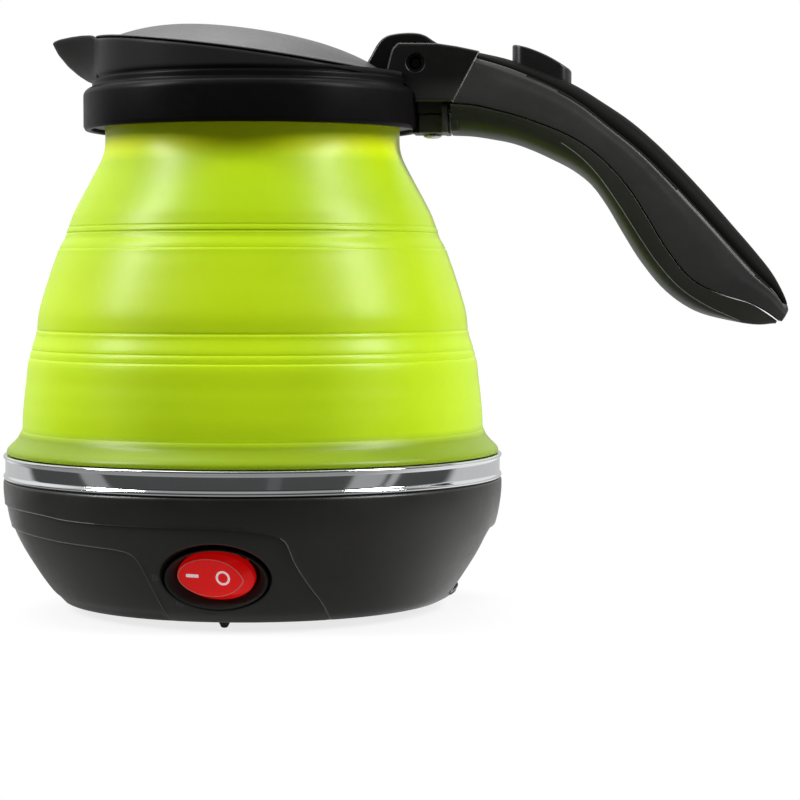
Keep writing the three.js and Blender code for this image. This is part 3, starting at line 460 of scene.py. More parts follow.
def rounded(points, closed=True, n=4):
    """Polyline with its corners rounded. A point is (a, b) or (a, b, radius)."""
    pts = [np.array(p[:2], float) for p in points]
    rad = [p[2] if len(p) > 2 else 0.0 for p in points]
    out = []
    m = len(pts)
    for i in range(m):
        p = pts[i]
        if rad[i] <= 0 or (not closed and i in (0, m - 1)):
            out.append(p)
            continue
        a, b = pts[(i - 1) % m] - p, pts[(i + 1) % m] - p
        la, lb = np.linalg.norm(a), np.linalg.norm(b)
        a, b = a / la, b / lb
        cosv = float(np.clip(a @ b, -1, 1))
        ang = math.acos(cosv)
        if ang > PI - 0.02 or ang < 1e-3:
            out.append(p)
            continue
        t = rad[i] / math.tan(ang / 2)
        t = min(t, 0.48 * la, 0.48 * lb)
        r = t * math.tan(ang / 2)
        centre = p + (a + b) / np.linalg.norm(a + b) * (r / math.sin(ang / 2))
        s, e = p + a * t - centre, p + b * t - centre
        a0, a1 = math.atan2(s[1], s[0]), math.atan2(e[1], e[0])
        d = (a1 - a0 + PI) % (2 * PI) - PI
        k = max(2, int(math.ceil(abs(d) / (PI / 2) * n)))
        for j in range(k + 1):
            w = a0 + d * j / k
            out.append(centre + r * np.array([math.cos(w), math.sin(w)]))
    keep = [out[0]]
    for q in out[1:]:
        if np.linalg.norm(q - keep[-1]) > 1e-4:
            keep.append(q)
    if closed and np.linalg.norm(keep[0] - keep[-1]) < 1e-4:
        keep.pop()
    return np.array(keep)


def catmull(points, per=8, closed=False):
    """Smooth curve through points of any dimension, centripetal."""
    P = np.asarray(points, float)
    n = len(P)
    if not closed:
        P = np.vstack([2 * P[0] - P[1], P, 2 * P[-1] - P[-2]])
        segs = n - 1
    else:
        P = np.vstack([P[-1], P, P[0], P[1]])
        segs = n
    out = []
    for i in range(segs):
        p0, p1, p2, p3 = P[i:i + 4]
        t0 = 0.0
        t1 = t0 + max(1e-6, np.linalg.norm(p1 - p0)) ** 0.5
        t2 = t1 + max(1e-6, np.linalg.norm(p2 - p1)) ** 0.5
        t3 = t2 + max(1e-6, np.linalg.norm(p3 - p2)) ** 0.5
        for t in np.linspace(t1, t2, per, endpoint=False):
            a1 = (t1 - t) / (t1 - t0) * p0 + (t - t0) / (t1 - t0) * p1
            a2 = (t2 - t) / (t2 - t1) * p1 + (t - t1) / (t2 - t1) * p2
            a3 = (t3 - t) / (t3 - t2) * p2 + (t - t2) / (t3 - t2) * p3
            b1 = (t2 - t) / (t2 - t0) * a1 + (t - t0) / (t2 - t0) * a2
            b2 = (t3 - t) / (t3 - t1) * a2 + (t - t1) / (t3 - t1) * a3
            out.append((t2 - t) / (t2 - t1) * b1 + (t - t1) / (t2 - t1) * b2)
    if not closed:
        out.append(P[-2])
    return np.array(out)


def resample(curve, n, closed=False):
    P = np.asarray(curve, float)
    if closed:
        P = np.vstack([P, P[0]])
    d = np.concatenate([[0], np.cumsum(np.linalg.norm(np.diff(P, axis=0), axis=1))])
    t = np.linspace(0, d[-1], n, endpoint=not closed)
    return np.stack([np.interp(t, d, P[:, k]) for k in range(P.shape[1])], 1)


def lathe(profile, seg=160, centre=(0.0, 0.0), tilt=False, offset=0.0):
    """Turned body about Z from an outline of (r, z). Ends on the axis close on it."""
    P = np.asarray(profile, float)
    on_axis = [i for i in range(len(P)) if P[i, 0] < 1e-6]
    verts, faces, idx = [], [], []
    th = np.linspace(0, 2 * PI, seg, endpoint=False) + offset
    for r, z in P:
        if r < 1e-6:
            idx.append([len(verts)] * seg)
            verts.append((0, 0, z))
        else:
            idx.append(list(range(len(verts), len(verts) + seg)))
            verts += [(r * math.cos(t), r * math.sin(t), z) for t in th]
    m = len(P)
    closed = len(on_axis) == 0
    for i in range(m if closed else m - 1):
        a, b = idx[i], idx[(i + 1) % m]
        if P[i, 0] < 1e-6 and P[(i + 1) % m, 0] < 1e-6:
            continue
        for k in range(seg):
            q = (k + 1) % seg
            f = [a[k], a[q], b[q], b[k]]
            g = []
            for x in f:
                if x not in g:
                    g.append(x)
            faces.append(g)
    v = np.array(verts, float)
    if tilt:
        t = math.atan(SEAM_SLOPE)
        x = v[:, 0] * math.cos(t) + v[:, 2] * math.sin(t)
        z = -v[:, 0] * math.sin(t) + v[:, 2] * math.cos(t)
        v[:, 0], v[:, 2] = x, z + SEAM_Z
    v[:, 0] += centre[0]
    v[:, 1] += centre[1]
    return v, faces


def loft(rings, cap=True):
    """Skin through closed rings that have the same number of points."""
    n = len(rings[0])
    v = np.vstack(rings)
    faces = []
    for k in range(len(rings) - 1):
        a, b = k * n, (k + 1) * n
        for i in range(n):
            j = (i + 1) % n
            faces.append([a + i, a + j, b + j, b + i])
    if cap:
        faces.append(list(range(n))[::-1])
        e = (len(rings) - 1) * n
        faces.append(list(range(e, e + n)))
    return v, faces


def inset(outline, d):
    """Closed outline moved inwards by d (a number or one per point), along its corner lines."""
    P = np.asarray(outline, float)
    area = 0.5 * np.sum(P[:, 0] * np.roll(P[:, 1], -1) - np.roll(P[:, 0], -1) * P[:, 1])
    s = 1.0 if area > 0 else -1.0
    e = np.roll(P, -1, 0) - P
    e /= np.maximum(1e-9, np.linalg.norm(e, axis=1))[:, None]
    nrm = np.stack([-e[:, 1], e[:, 0]], 1) * s
    prev = np.roll(nrm, 1, 0)
    m = nrm + prev
    l2 = np.maximum(0.35, np.sum(m * m, 1) / 2)
    m = m / l2[:, None]
    return P + m * np.asarray(d, float).reshape(-1, 1) if np.ndim(d) else P + m * d


def plate(outline, lo, hi, r_lo=0.3, r_hi=0.3, place=None, steps=4):
    """Moulded plate: outline given depth from lo to hi, with rounded rims of radius r_lo and r_hi."""
    rings = []

    def ring(off, depth):
        q = inset(outline, off)
        dd = np.broadcast_to(np.asarray(depth, float), (len(q),))
        rings.append(place(q[:, 0], q[:, 1], dd))
    rl, rh = np.asarray(r_lo, float), np.asarray(r_hi, float)
    for k in range(steps + 1):
        a = k / steps * PI / 2
        ring(rl * (1 - math.sin(a)), lo + rl * (1 - math.cos(a)))
    for k in range(steps + 1):
        a = k / steps * PI / 2
        ring(rh * (1 - math.cos(a)), hi - rh * (1 - math.sin(a)))
    return loft(rings)


def side(x, z, y):          # outline in X and Z, depth along Y
    return np.stack([x, y, z], 1)


def plan(x, y, z):          # outline in X and Y, depth along Z
    return np.stack([x, y, z], 1)


def sw(s, t, n):
    s, t, n = (np.asarray(a, float) for a in (s, t, n))
    return SW_C + s[..., None] * SW_S + t[..., None] * SW_T + n[..., None] * SW_N


def tube(path, r, sides=12, cap=True):
    """Round bar of radius r (a number or one per point) along a path, without twist."""
    P = np.asarray(path, float)
    R = np.broadcast_to(np.asarray(r, float), (len(P),))
    T = np.gradient(P, axis=0)
    T /= np.linalg.norm(T, axis=1)[:, None]
    up = np.array([0.0, 0.0, 1.0]) if abs(T[0][2]) < 0.9 else np.array([1.0, 0.0, 0.0])
    u = np.cross(T[0], up)
    u /= np.linalg.norm(u)
    rings = []
    for i in range(len(P)):
        u = u - T[i] * (u @ T[i])
        u /= np.linalg.norm(u)
        w = np.cross(T[i], u)
        a = np.linspace(0, 2 * PI, sides, endpoint=False)
        rings.append(P[i] + R[i] * (np.cos(a)[:, None] * u + np.sin(a)[:, None] * w))
    return loft(rings, cap)


def merge(*parts):
    vs, fs, o = [], [], 0
    for v, f in parts:
        vs.append(np.asarray(v, float))
        fs += [[i + o for i in q] for q in f]
        o += len(v)
    return np.vstack(vs), fs


def moved(part, rot=None, shift=(0, 0, 0)):
    v, f = part
    v = np.asarray(v, float)
    if rot is not None:
        v = v @ np.asarray(rot, float).T
    return v + np.array(shift, float), f


def inside(points, poly):
    """Which of the points lie inside the closed polygon."""
    P, Q = np.asarray(points, float), np.asarray(poly, float)
    x, y = P[:, 0], P[:, 1]
    hit = np.zeros(len(P), bool)
    j = len(Q) - 1
    for i in range(len(Q)):
        xi, yi = Q[i]
        xj, yj = Q[j]
        if yi != yj:
            c = ((yi > y) != (yj > y)) & (x < (xj - xi) * (y - yi) / (yj - yi) + xi)
            hit ^= c
        j = i
    return hit


def dist_to(points, line, closed=False):
    """Distance of each point to a polyline, and the side it is on (+ left of the line)."""
    P, L = np.asarray(points, float), np.asarray(line, float)
    if closed:
        L = np.vstack([L, L[0]])
    best = np.full(len(P), 1e9)
    side_of = np.zeros(len(P))
    for a, b in zip(L[:-1], L[1:]):
        d = b - a
        l2 = max(1e-12, d @ d)
        t = np.clip(((P - a) @ d) / l2, 0, 1)
        q = a + t[:, None] * d
        r = np.linalg.norm(P - q, axis=1)
        c = d[0] * (P[:, 1] - a[1]) - d[1] * (P[:, 0] - a[0])
        m = r < best - 1e-9
        best[m] = r[m]
        side_of[m] = np.sign(c[m])
    return best, side_of


def fill(points, loops, holes=(), eps=1e-5):
    """Triangulates points with the given index loops as fixed edges. Triangles in a hole, or
    outside the first loop, are dropped."""
    P = [Vector((float(a), float(b))) for a, b in points]
    edges = []
    for lp, closed in loops:
        for a, b in zip(lp[:-1], lp[1:]):
            edges.append((int(a), int(b)))
        if closed:
            edges.append((int(lp[-1]), int(lp[0])))
    v, _, f, ov, _, _ = delaunay_2d_cdt(P, edges, [], 0, eps)
    V2 = np.array([(a[0], a[1]) for a in v])
    back = {}
    for i, o in enumerate(ov):
        back[i] = o[0] if len(o) else None
    tri = np.array([t for t in f if len(t) == 3])
    cen = V2[tri].mean(1)
    keep = np.ones(len(tri), bool)
    for h in holes:
        keep &= ~inside(cen, h)
    return V2, tri[keep], back


def screw(centre, axis, r_head, h_head, r_stem, length, recess=True, seg=48):
    """Cross-recess screw: head from centre outwards along axis, stem the other way."""
    a = np.asarray(axis, float) / np.linalg.norm(axis)
    ref = np.array([0.0, 1.0, 0.0]) if abs(a[1]) < 0.9 else np.array([1.0, 0.0, 0.0])
    u = np.cross(ref, a)
    u /= np.linalg.norm(u)
    w = np.cross(a, u)
    R = np.stack([u, w, a], 1)
    prof = rounded([(0.0, -length), (r_stem * 0.5, -length), (r_stem, -length + r_stem), (r_stem, 0.0), (r_head, 0.0, 0.1),
                    (r_head, h_head * 0.55, h_head * 0.4), (r_head * 0.62, h_head, 0.3), (r_head * 0.55, h_head)],
                   closed=False)
    v, f = lathe(prof, seg)
    ring = np.array([(r_head * 0.55 * math.cos(t), r_head * 0.55 * math.sin(t))
                     for t in np.linspace(0, 2 * PI, seg, endpoint=False)])
    L, W = r_head * 0.44, r_head * 0.11
    cross = []
    for k in range(4):
        c, s = math.cos(k * PI / 2), math.sin(k * PI / 2)
        for x, y in ((W, -W), (L, -W), (L, W)):
            cross.append((x * c - y * s, x * s + y * c))
    cross = np.array(cross)
    pts = np.vstack([ring, cross])
    V2, tri, _ = fill(pts, [(list(range(seg)), True), (list(range(seg, seg + 12)), True)], [cross])
    top = (np.column_stack([V2, np.full(len(V2), h_head)]), [list(t) for t in tri])
    deep = cross * 0.55
    rings = [np.column_stack([cross, np.full(12, h_head)]), np.column_stack([deep, np.full(12, h_head - r_head * 0.35)])]
    wv, wf = loft(rings, cap=False)
    wf.append(list(range(12, 24)))
    part = merge((v, f), top, (wv, wf))
    V, F = part
    return V @ R.T + np.asarray(centre, float), F


def shell(part, t):
    """Gives an open skin a wall of thickness t on its inner side. The faces must point out."""
    v, f = part
    v = np.asarray(v, float)
    key = {}
    idx = np.zeros(len(v), int)
    q = np.round(v / 1e-4).astype(np.int64)
    uniq = []
    for i, k in enumerate(map(tuple, q)):
        if k not in key:
            key[k] = len(uniq)
            uniq.append(i)
        idx[i] = key[k]
    v = v[uniq]
    faces = []
    for p in f:
        g = []
        for a in p:
            b = int(idx[a])
            if b not in g:
                g.append(b)
        if len(g) > 2:
            faces.append(g)
    nrm = np.zeros_like(v)
    edges = {}
    for g in faces:
        a, b, c = v[g[0]], v[g[1]], v[g[-1]]
        n = np.cross(b - a, c - a)
        for i in g:
            nrm[i] += n
        for i, j in zip(g, g[1:] + g[:1]):
            edges[(i, j)] = edges.get((i, j), 0) + 1
    nrm /= np.maximum(1e-12, np.linalg.norm(nrm, axis=1))[:, None]
    n0 = len(v)
    V = np.vstack([v, v - nrm * t])
    F = list(faces) + [[i + n0 for i in reversed(g)] for g in faces]
    for (i, j) in edges:
        if (j, i) not in edges:
            F.append([j, i, i + n0, j + n0])
    return V, F


def carve(part, *cutters):
    """Takes the cutters' room out of a closed part."""
    import bmesh

    def temp(p, nm):
        me = bpy.data.meshes.new(nm)
        me.from_pydata(np.asarray(p[0], float).tolist(), [], [list(map(int, q)) for q in p[1]])
        bm = bmesh.new()
        bm.from_mesh(me)
        bmesh.ops.remove_doubles(bm, verts=bm.verts, dist=1e-4)
        bmesh.ops.recalc_face_normals(bm, faces=bm.faces)
        bm.to_mesh(me)
        bm.free()
        o = bpy.data.objects.new(nm, me)
        bpy.context.scene.collection.objects.link(o)
        return o
    a = temp(part, "tmp_part")
    tools = []
    for k, c in enumerate(cutters):
        b = temp(c, "tmp_cut%d" % k)
        m = a.modifiers.new("cut%d" % k, "BOOLEAN")
        m.operation = "DIFFERENCE"
        m.solver = "EXACT"
        m.object = b
        tools.append(b)
    bpy.context.view_layer.update()
    dg = bpy.context.evaluated_depsgraph_get()
    me = a.evaluated_get(dg).to_mesh()
    V = np.array([v.co[:] for v in me.vertices])
    F = [list(p.vertices) for p in me.polygons]
    a.evaluated_get(dg).to_mesh_clear()
    for o in [a] + tools:
        d = o.data
        bpy.data.objects.remove(o)
        bpy.data.meshes.remove(d)
    return V, F


def plate_holes(outline, holes, lo, hi, r_lo, r_hi, place, chamfer=0.2, steps=5):
    """Plate with straight holes: rims rounded like plate(), hole edges chamfered."""
    rl, rh = np.asarray(r_lo, float), np.asarray(r_hi, float)
    rings = []

    def ring(off, depth):
        q = inset(outline, off)
        rings.append((q, np.broadcast_to(np.asarray(depth, float), (len(q),))))
    for k in range(steps + 1):
        a = k / steps * PI / 2
        ring(rl * (1 - math.sin(a)), lo + rl * (1 - math.cos(a)))
    for k in range(steps + 1):
        a = k / steps * PI / 2
        ring(rh * (1 - math.cos(a)), hi - rh * (1 - math.sin(a)))
    parts = [loft([place(q[:, 0], q[:, 1], d) for q, d in rings], cap=False)]
    for which, z, sgn in ((rings[-1][0], hi, 1), (rings[0][0], lo, -1)):
        pts = [which]
        loops = [(list(range(len(which))), True)]
        cuts = []
        o = len(which)
        for h in holes:
            big = inset(h, -chamfer)
            pts.append(big)
            loops.append((list(range(o, o + len(big))), True))
            cuts.append(big)
            o += len(big)
        V2, tri, _ = fill(np.vstack(pts), loops, cuts)
        keep = inside(V2[tri].mean(1), which)
        tri = tri[keep]
        parts.append((place(V2[:, 0], V2[:, 1], np.full(len(V2), float(z))),
                      [list(t) if sgn > 0 else list(t)[::-1] for t in tri]))
    for h in holes:
        big = inset(h, -chamfer)
        rr = [(big, lo), (h, lo + chamfer), (h, hi - chamfer), (big, hi)]
        parts.append(loft([place(q[:, 0], q[:, 1], np.full(len(q), float(z))) for q, z in rr], cap=False))
    return merge(*parts)


def circle(cx, cy, r, n=32):
    a = np.linspace(0, 2 * PI, n, endpoint=False)
    return np.stack([cx + r * np.cos(a), cy + r * np.sin(a)], 1)


def oval(hs, ht, n=64, ds=0.0, dt=0.0):
    a = np.linspace(0, 2 * PI, n, endpoint=False)
    return np.stack([ds + hs * np.cos(a), dt + ht * np.sin(a)], 1)


# ================================================================== base casing
CASING = catmull([(57.3, 0.15), (60.3, 1.8), (63, 4.9), (67, 10.9), (70.6, 17), (73.2, 23), (74.5, 29),
                  (74.98, 33.5), (75.0, 35.2)], 10)
CASING = np.vstack([[[55.2, 0.0], [56.2, 0.0], [56.8, 0.03]], CASING,
                    [[75.0, 35.6], [74.97, 35.95], [74.88, 36.25], [74.72, 36.48], [74.5, 36.62], [74.2, 36.7], [73.4, 36.7]]])
CASING[:, 0] = np.minimum(CASING[:, 0], 75.0)
C_ARC = np.concatenate([[0], np.cumsum(np.linalg.norm(np.diff(CASING, axis=0), axis=1))])
U_PER_DEG = 68.0 * PI / 180


def casing_at(v):
    """Radius, height and outward normal (radial, up) of the casing at arc length v."""
    r = np.interp(v, C_ARC, CASING[:, 0])
    z = np.interp(v, C_ARC, CASING[:, 1])
    e = 0.25
    dr = np.interp(v + e, C_ARC, CASING[:, 0]) - np.interp(v - e, C_ARC, CASING[:, 0])
    dz = np.interp(v + e, C_ARC, CASING[:, 1]) - np.interp(v - e, C_ARC, CASING[:, 1])
    l = np.maximum(1e-9, np.hypot(dr, dz))
    return r, z, dz / l, -dr / l


def v_of_z(z):
    return np.interp(z, CASING[3:-7, 1], C_ARC[3:-7])


STEP_1 = [(-180, 29.5), (-168, 29.5), (-154.7, 29.4), (-136.2, 29.2), (-127.8, 28.5), (-117.8, 28.2), (-104, 28.1), (-92, 27.9),
          (-86, 27.5), (-81.4, 26.9), (-77.6, 26.0), (-75.9, 25.0), (-74.9, 23.6), (-74.3, 21.8), (-73.2, 18.8), (-71.4, 15.2),
          (-68.4, 10.6), (-64.6, 5.7), (-60.2, 0.4)]
STEP_2 = [(-180, 22.7), (-168, 22.7), (-152.4, 22.6), (-138.7, 22.1), (-130.9, 21.7), (-120.5, 21.3), (-114.6, 20.9),
          (-111.4, 20.3), (-109.8, 19.3), (-108.9, 17.6), (-108.3, 15.2), (-107.8, 12.2), (-107.0, 7.4), (-106.0, 1.6), (-105.8, 0.3)]


def step_line(pts):
    c = catmull([(a * U_PER_DEG, float(v_of_z(z))) for a, z in pts], 10)
    d = c[-1] - c[-2]
    c = np.vstack([c, c[-1] + d / np.linalg.norm(d) * 4.0])
    return resample(c, int(np.linalg.norm(np.diff(c, axis=0), axis=1).sum() / 1.1))


def build_casing():
    vmax = C_ARC[-1]
    umax = 180 * U_PER_DEG
    lines = [step_line(STEP_1), step_line(STEP_2)]
    flip = [np.column_stack([-l[:, 0], l[:, 1]]) for l in lines]

    # ---- pocket rims, found where the pocket's wall meets the skin
    def meet(p0, p1):
        lo, hi = 0.0, 1.0
        for _ in range(40):
            m = (lo + hi) / 2
            p = p0 + (p1 - p0) * m
            rc = np.interp(p[2], CASING[3:-7, 1], CASING[3:-7, 0])
            if math.hypot(p[0], p[1]) < rc:
                lo = m
            else:
                hi = m
        return p0 + (p1 - p0) * lo

    def uv(p):
        return (math.degrees(math.atan2(p[1], p[0])) * U_PER_DEG, float(v_of_z(p[2])))

    N = 128
    floor = oval(15.0, 9.7, N)
    front = oval(18.8, 13.4, N, 0, 2.6)
    P0 = sw(floor[:, 0], floor[:, 1], np.full(N, -1.9))
    P1 = sw(front[:, 0], front[:, 1], np.full(N, 12.0))
    rim = np.array([meet(a, b) for a, b in zip(P0, P1)])
    sw_uv = np.array([uv(p) for p in rim])
    sw_out = inset(sw_uv, -0.75)

    box = rounded([(-13.8, 3.9, 2.6), (13.8, 3.9, 2.6), (13.8, 22.3, 3.4), (-13.8, 22.3, 3.4)], n=8)
    box = resample(box, 110, True)
    rc = np.interp(box[:, 1], CASING[3:-7, 1], CASING[3:-7, 0])
    in_rim = np.stack([np.sqrt(rc ** 2 - box[:, 0] ** 2), box[:, 0], box[:, 1]], 1)
    in_uv = np.array([uv(p) for p in in_rim])
    in_out = inset(in_uv, -0.75)

    # ---- points of the skin, in (along, up) arc lengths
    us = np.linspace(-umax, umax, 241)
    keep_v = [C_ARC[0], C_ARC[1], C_ARC[2]] + list(np.arange(C_ARC[3], C_ARC[-8], 1.35)) + list(C_ARC[-8:])
    vs = np.array(sorted(set(np.round(keep_v, 4))))
    inner_u = us[1:-1]
    G = np.array([(u, v) for v in vs[1:-1] for u in inner_u])
    far = np.ones(len(G), bool)
    for l in lines + flip:
        d, _ = dist_to(G, l)
        far &= d > 0.95
    for loop in (sw_out, in_out):
        d, _ = dist_to(G, loop, True)
        far &= (d > 0.7) & ~inside(G, loop)
    G = G[far]
    pts, loops = [], []

    def add_points(p):
        o = sum(len(q) for q in pts)
        pts.append(np.asarray(p, float))
        return list(range(o, o + len(p)))
    # frame of the domain: four sides
    frame_pts = [(u, vs[0]) for u in us] + [(umax, v) for v in vs[1:]] + [(u, vs[-1]) for u in us[::-1][1:]] + \
                [(-umax, v) for v in vs[::-1][1:-1]]
    loops.append((add_points(frame_pts), True))
    add_points(G)
    loops.append((add_points(sw_out), True))
    loops.append((add_points(in_out), True))
    offs = (-0.36, -0.13, 0.13, 0.36)
    for l in lines + flip:
        e = np.gradient(l, axis=0)
        e /= np.linalg.norm(e, axis=1)[:, None]
        nn = np.stack([-e[:, 1], e[:, 0]], 1)
        for o in offs:
            q = l + nn * o
            q[:, 0] = np.clip(q[:, 0], -umax, umax)
            q = q[(q[:, 1] > vs[0] + 0.02) & (q[:, 1] < vs[-1] - 0.02)]
            loops.append((add_points(q), False))
    V2, tri, _ = fill(np.vstack(pts), loops, [sw_out, in_out], 1e-4)
    u, v = V2[:, 0], V2[:, 1]
    r, z, nr, nz = casing_at(v)
    h = np.zeros(len(V2))
    for l in lines:
        for L, s in ((l, 1.0), (np.column_stack([-l[:, 0], l[:, 1]]), -1.0)):
            m = (u * s) < 1e-6
            d, sd = dist_to(V2[m], L)
            # left of the front line, going right and down, is its upper side
            low = -sd * s
            t = np.clip((low * d + 0.13) / 0.49, 0, 1)
            h[m] += -0.5 * t * t * (3 - 2 * t) + 0.1 * np.clip(1 - np.abs(low * d + 0.13) / 0.2, 0, 1)
    fade = np.clip((z - 0.05) / 1.2, 0, 1)
    h *= fade
    th = np.radians(u / U_PER_DEG)
    rr, zz = r + nr * h, z + nz * h
    X = np.stack([rr * np.cos(th), rr * np.sin(th), zz], 1)
    tris = [list(t) for t in tri]
    skin = (X, tris)

    # ---- rounded lips and walls of the pockets
    def lip(out_uv, sharp_pts, wall_dir, depth=0.85, rows=5):
        rr_, zz_, nr_, nz_ = casing_at(out_uv[:, 1])
        hh = np.zeros(len(out_uv))
        for l in lines:
            for L, s in ((l, 1.0), (np.column_stack([-l[:, 0], l[:, 1]]), -1.0)):
                m = (out_uv[:, 0] * s) < 1e-6
                if m.any():
                    d, sd = dist_to(out_uv[m], L)
                    t = np.clip((-sd * s * d + 0.13) / 0.49, 0, 1)
                    hh[m] += -0.5 * t * t * (3 - 2 * t)
        a = np.radians(out_uv[:, 0] / U_PER_DEG)
        R_, Z_ = rr_ + nr_ * hh, zz_ + nz_ * hh
        A = np.stack([R_ * np.cos(a), R_ * np.sin(a), Z_], 1)
        nv = np.stack([nr_ * np.cos(a), nr_ * np.sin(a), nz_], 1)
        B = sharp_pts + nv * hh[:, None]
        C = B + wall_dir * depth
        out = []
        for k in range(rows + 1):
            t = k / rows
            out.append((1 - t) ** 2 * A + 2 * t * (1 - t) * B + t * t * C)
        return out

    wd = P0 - P1
    wd /= np.linalg.norm(wd, axis=1)[:, None]
    rows = lip(sw_out, rim, wd)
    rings = rows + [P0 + (rows[-1] - P0) * 0.5, P0 + (rows[-1] - P0) * 0.08,
                    sw(oval(14.8, 9.55, N)[:, 0], oval(14.8, 9.55, N)[:, 1], np.full(N, -1.95)),
                    sw(oval(12.95, 8.45, N)[:, 0], oval(12.95, 8.45, N)[:, 1], np.full(N, -4.8)),
                    sw(oval(12.9, 8.4, N)[:, 0], oval(12.9, 8.4, N)[:, 1], np.full(N, -5.2)),
                    sw(oval(12.9, 8.4, N)[:, 0], oval(12.9, 8.4, N)[:, 1], np.full(N, -6.2))]
    sw_pocket = loft(rings, cap=False)
    wdi = np.tile([-1.0, 0, 0], (len(box), 1))
    rows = lip(in_out, in_rim, wdi)
    back = np.stack([np.full(len(box), 57.0), box[:, 0], box[:, 1]], 1)
    rings = rows + [rows[-1] + (back - rows[-1]) * 0.5, back, back - np.array([2.0, 0, 0])]
    in_pocket = loft(rings, cap=False)
    # orientation: skin faces out; pocket walls face the pocket's room
    def outward(part, test):
        Vp, Fp = part
        f0 = Fp[len(Fp) // 2]
        a, b, c = (np.asarray(Vp[f0[k]]) for k in (0, 1, 2))
        n = np.cross(b - a, c - a)
        if n @ test(a) < 0:
            return Vp, [list(reversed(q)) for q in Fp]
        return part
    skin_f = []
    for t in tris:
        a, b, c = X[t[0]], X[t[1]], X[t[2]]
        n = np.cross(b - a, c - a)
        m = (a + b + c) / 3
        skin_f.append(t if n @ np.array([m[0], m[1], (m[2] - 40) * 0.6]) > 0 else t[::-1])
    swp = outward(sw_pocket, lambda a: (SW_C + SW_N * 2) - a)
    inp = outward(in_pocket, lambda a: np.array([60.0, 0, 13.4]) - a)
    part = merge((X, skin_f), swp, inp)
    return shell(part, 1.5)


def step_path(pts, off, drop):
    """The upper edge of a step in space; drop is how far the skin there is already set back."""
    l = step_line(pts)
    l = l[(l[:, 1] > 0.6) & (l[:, 1] < C_ARC[-1] - 0.1)]
    e = np.gradient(l, axis=0)
    e /= np.linalg.norm(e, axis=1)[:, None]
    q = l + np.stack([-e[:, 1], e[:, 0]], 1) * off
    r, z, nr, nz = casing_at(q[:, 1])
    a = np.radians(q[:, 0] / U_PER_DEG)
    out = 0.03 - drop
    return np.stack([(r + nr * out) * np.cos(a), (r + nr * out) * np.sin(a), z + nz * out], 1), q[:, 0] / U_PER_DEG


casing = make("base_casing_shell", *build_casing(), MAT["casing"], "base", "casing", ["base_casing"], sharp=38, weld=2e-6)
# painted highlight: faces along the upper edges of the steps take the light grey
PATHS = []
for pts in (STEP_1, STEP_2):
    p, deg = step_path(pts, 0.245, 0.0 if pts is STEP_1 else 0.5)
    for keep in ((deg < -118) if pts is STEP_1 else (deg < -99), (deg > -76.5)):
        if keep.sum() > 2:
            PATHS.append(p[keep])
            PATHS.append(p[keep] * np.array([1, -1, 1]))
mark_faces(casing, MAT["edge"], PATHS, 0.19)


# ================================================================== base plate, feet, screws
def build_base_plate():
    N = 144
    rings = [(54.5, 2.1), (54.1, 2.5), (0.0, 2.5)]
    top = lathe([(54.5, 0.4), *rings], N)
    prof = [(54.5, 0.4), (54.38, 0.12), (54.1, 0.0)]
    edge = lathe(prof + [(54.1, 0.0)], N)
    edge = (edge[0][:3 * N], [f for f in edge[1] if max(f) < 3 * N])
    centre = lathe([(0, 0), (11.9, 0.0), (12.05, 0.06), (12.35, 0.4), (43.95, 0.4), (44.2, 0.12), (44.4, 0.0)], N)
    # annulus with four blind screw pockets
    o1 = circle(0, 0, 54.1, N)
    o2 = circle(0, 0, 44.4, N)
    holes, pockets = [], []
    for d in (45, 135, 225, 315):
        x, y = 50 * math.cos(math.radians(d)), 50 * math.sin(math.radians(d))
        h = circle(x, y, 3.65, 32)
        holes.append(h)
        rr = [(3.65, 0.0), (3.47, 0.08), (3.4, 0.25), (3.4, 1.5), (3.3, 1.6)]
        P, F = loft([np.column_stack([circle(x, y, r, 32), np.full(32, z)]) for r, z in rr], cap=False)
        F.append(list(range(4 * 32, 5 * 32)))
        pockets.append((P, F))
    loops = [(list(range(N)), True), (list(range(N, 2 * N)), True)]
    o = 2 * N
    for h in holes:
        loops.append((list(range(o, o + 32)), True))
        o += 32
    ribs = [circle(0, 0, r, N) for r in (46.2, 52.6)]
    extra = []
    for q in ribs:
        d = np.min([dist_to(q, h, True)[0] for h in holes], axis=0)
        ins = np.any([inside(q, h) for h in holes], axis=0)
        extra.append(q[(d > 0.8) & ~ins])
    V2, tri, _ = fill(np.vstack([o1, o2, *holes, *extra]), loops, [o2, *holes])
    ann = (np.column_stack([V2, np.zeros(len(V2))]), [list(t) for t in tri])
    return merge(top, edge, centre, ann, *pockets)


make("base_plate_disc", *build_base_plate(), MAT["plate"], "base", "casing", ["base_plate"], sharp=30)
for k, d in enumerate((45, 135, 225, 315)):
    x, y = 50 * math.cos(math.radians(d)), 50 * math.sin(math.radians(d))
    make("plate_screw_head_%d" % (k + 1), *screw((x, y, 1.3), (0, 0, -1), 2.9, 1.0, 1.3, 11.0), MAT["screw"], "base", "steel",
         ["plate_screw_%d" % (k + 1)], sharp=30)
FOOT = rounded([(0.0, -2.4), (0.5, -2.4), (0.95, -2.2, 0.5), (1.6, -0.9, 0.6), (1.9, -0.35, 0.15), (1.2, -0.3), (1.2, 2.25), (0.0, 2.3)], closed=False, n=6)
for n, x, y in (("right", 50, 0), ("back", 0, 50), ("left", -50, 0), ("front", -1.3, -50)):
    v, f = lathe(FOOT, 48)
    make("foot_peg_" + n, v + np.array([x, y, 0]), f, MAT["rubber"], "base", "foot_rubber", ["foot_" + n])

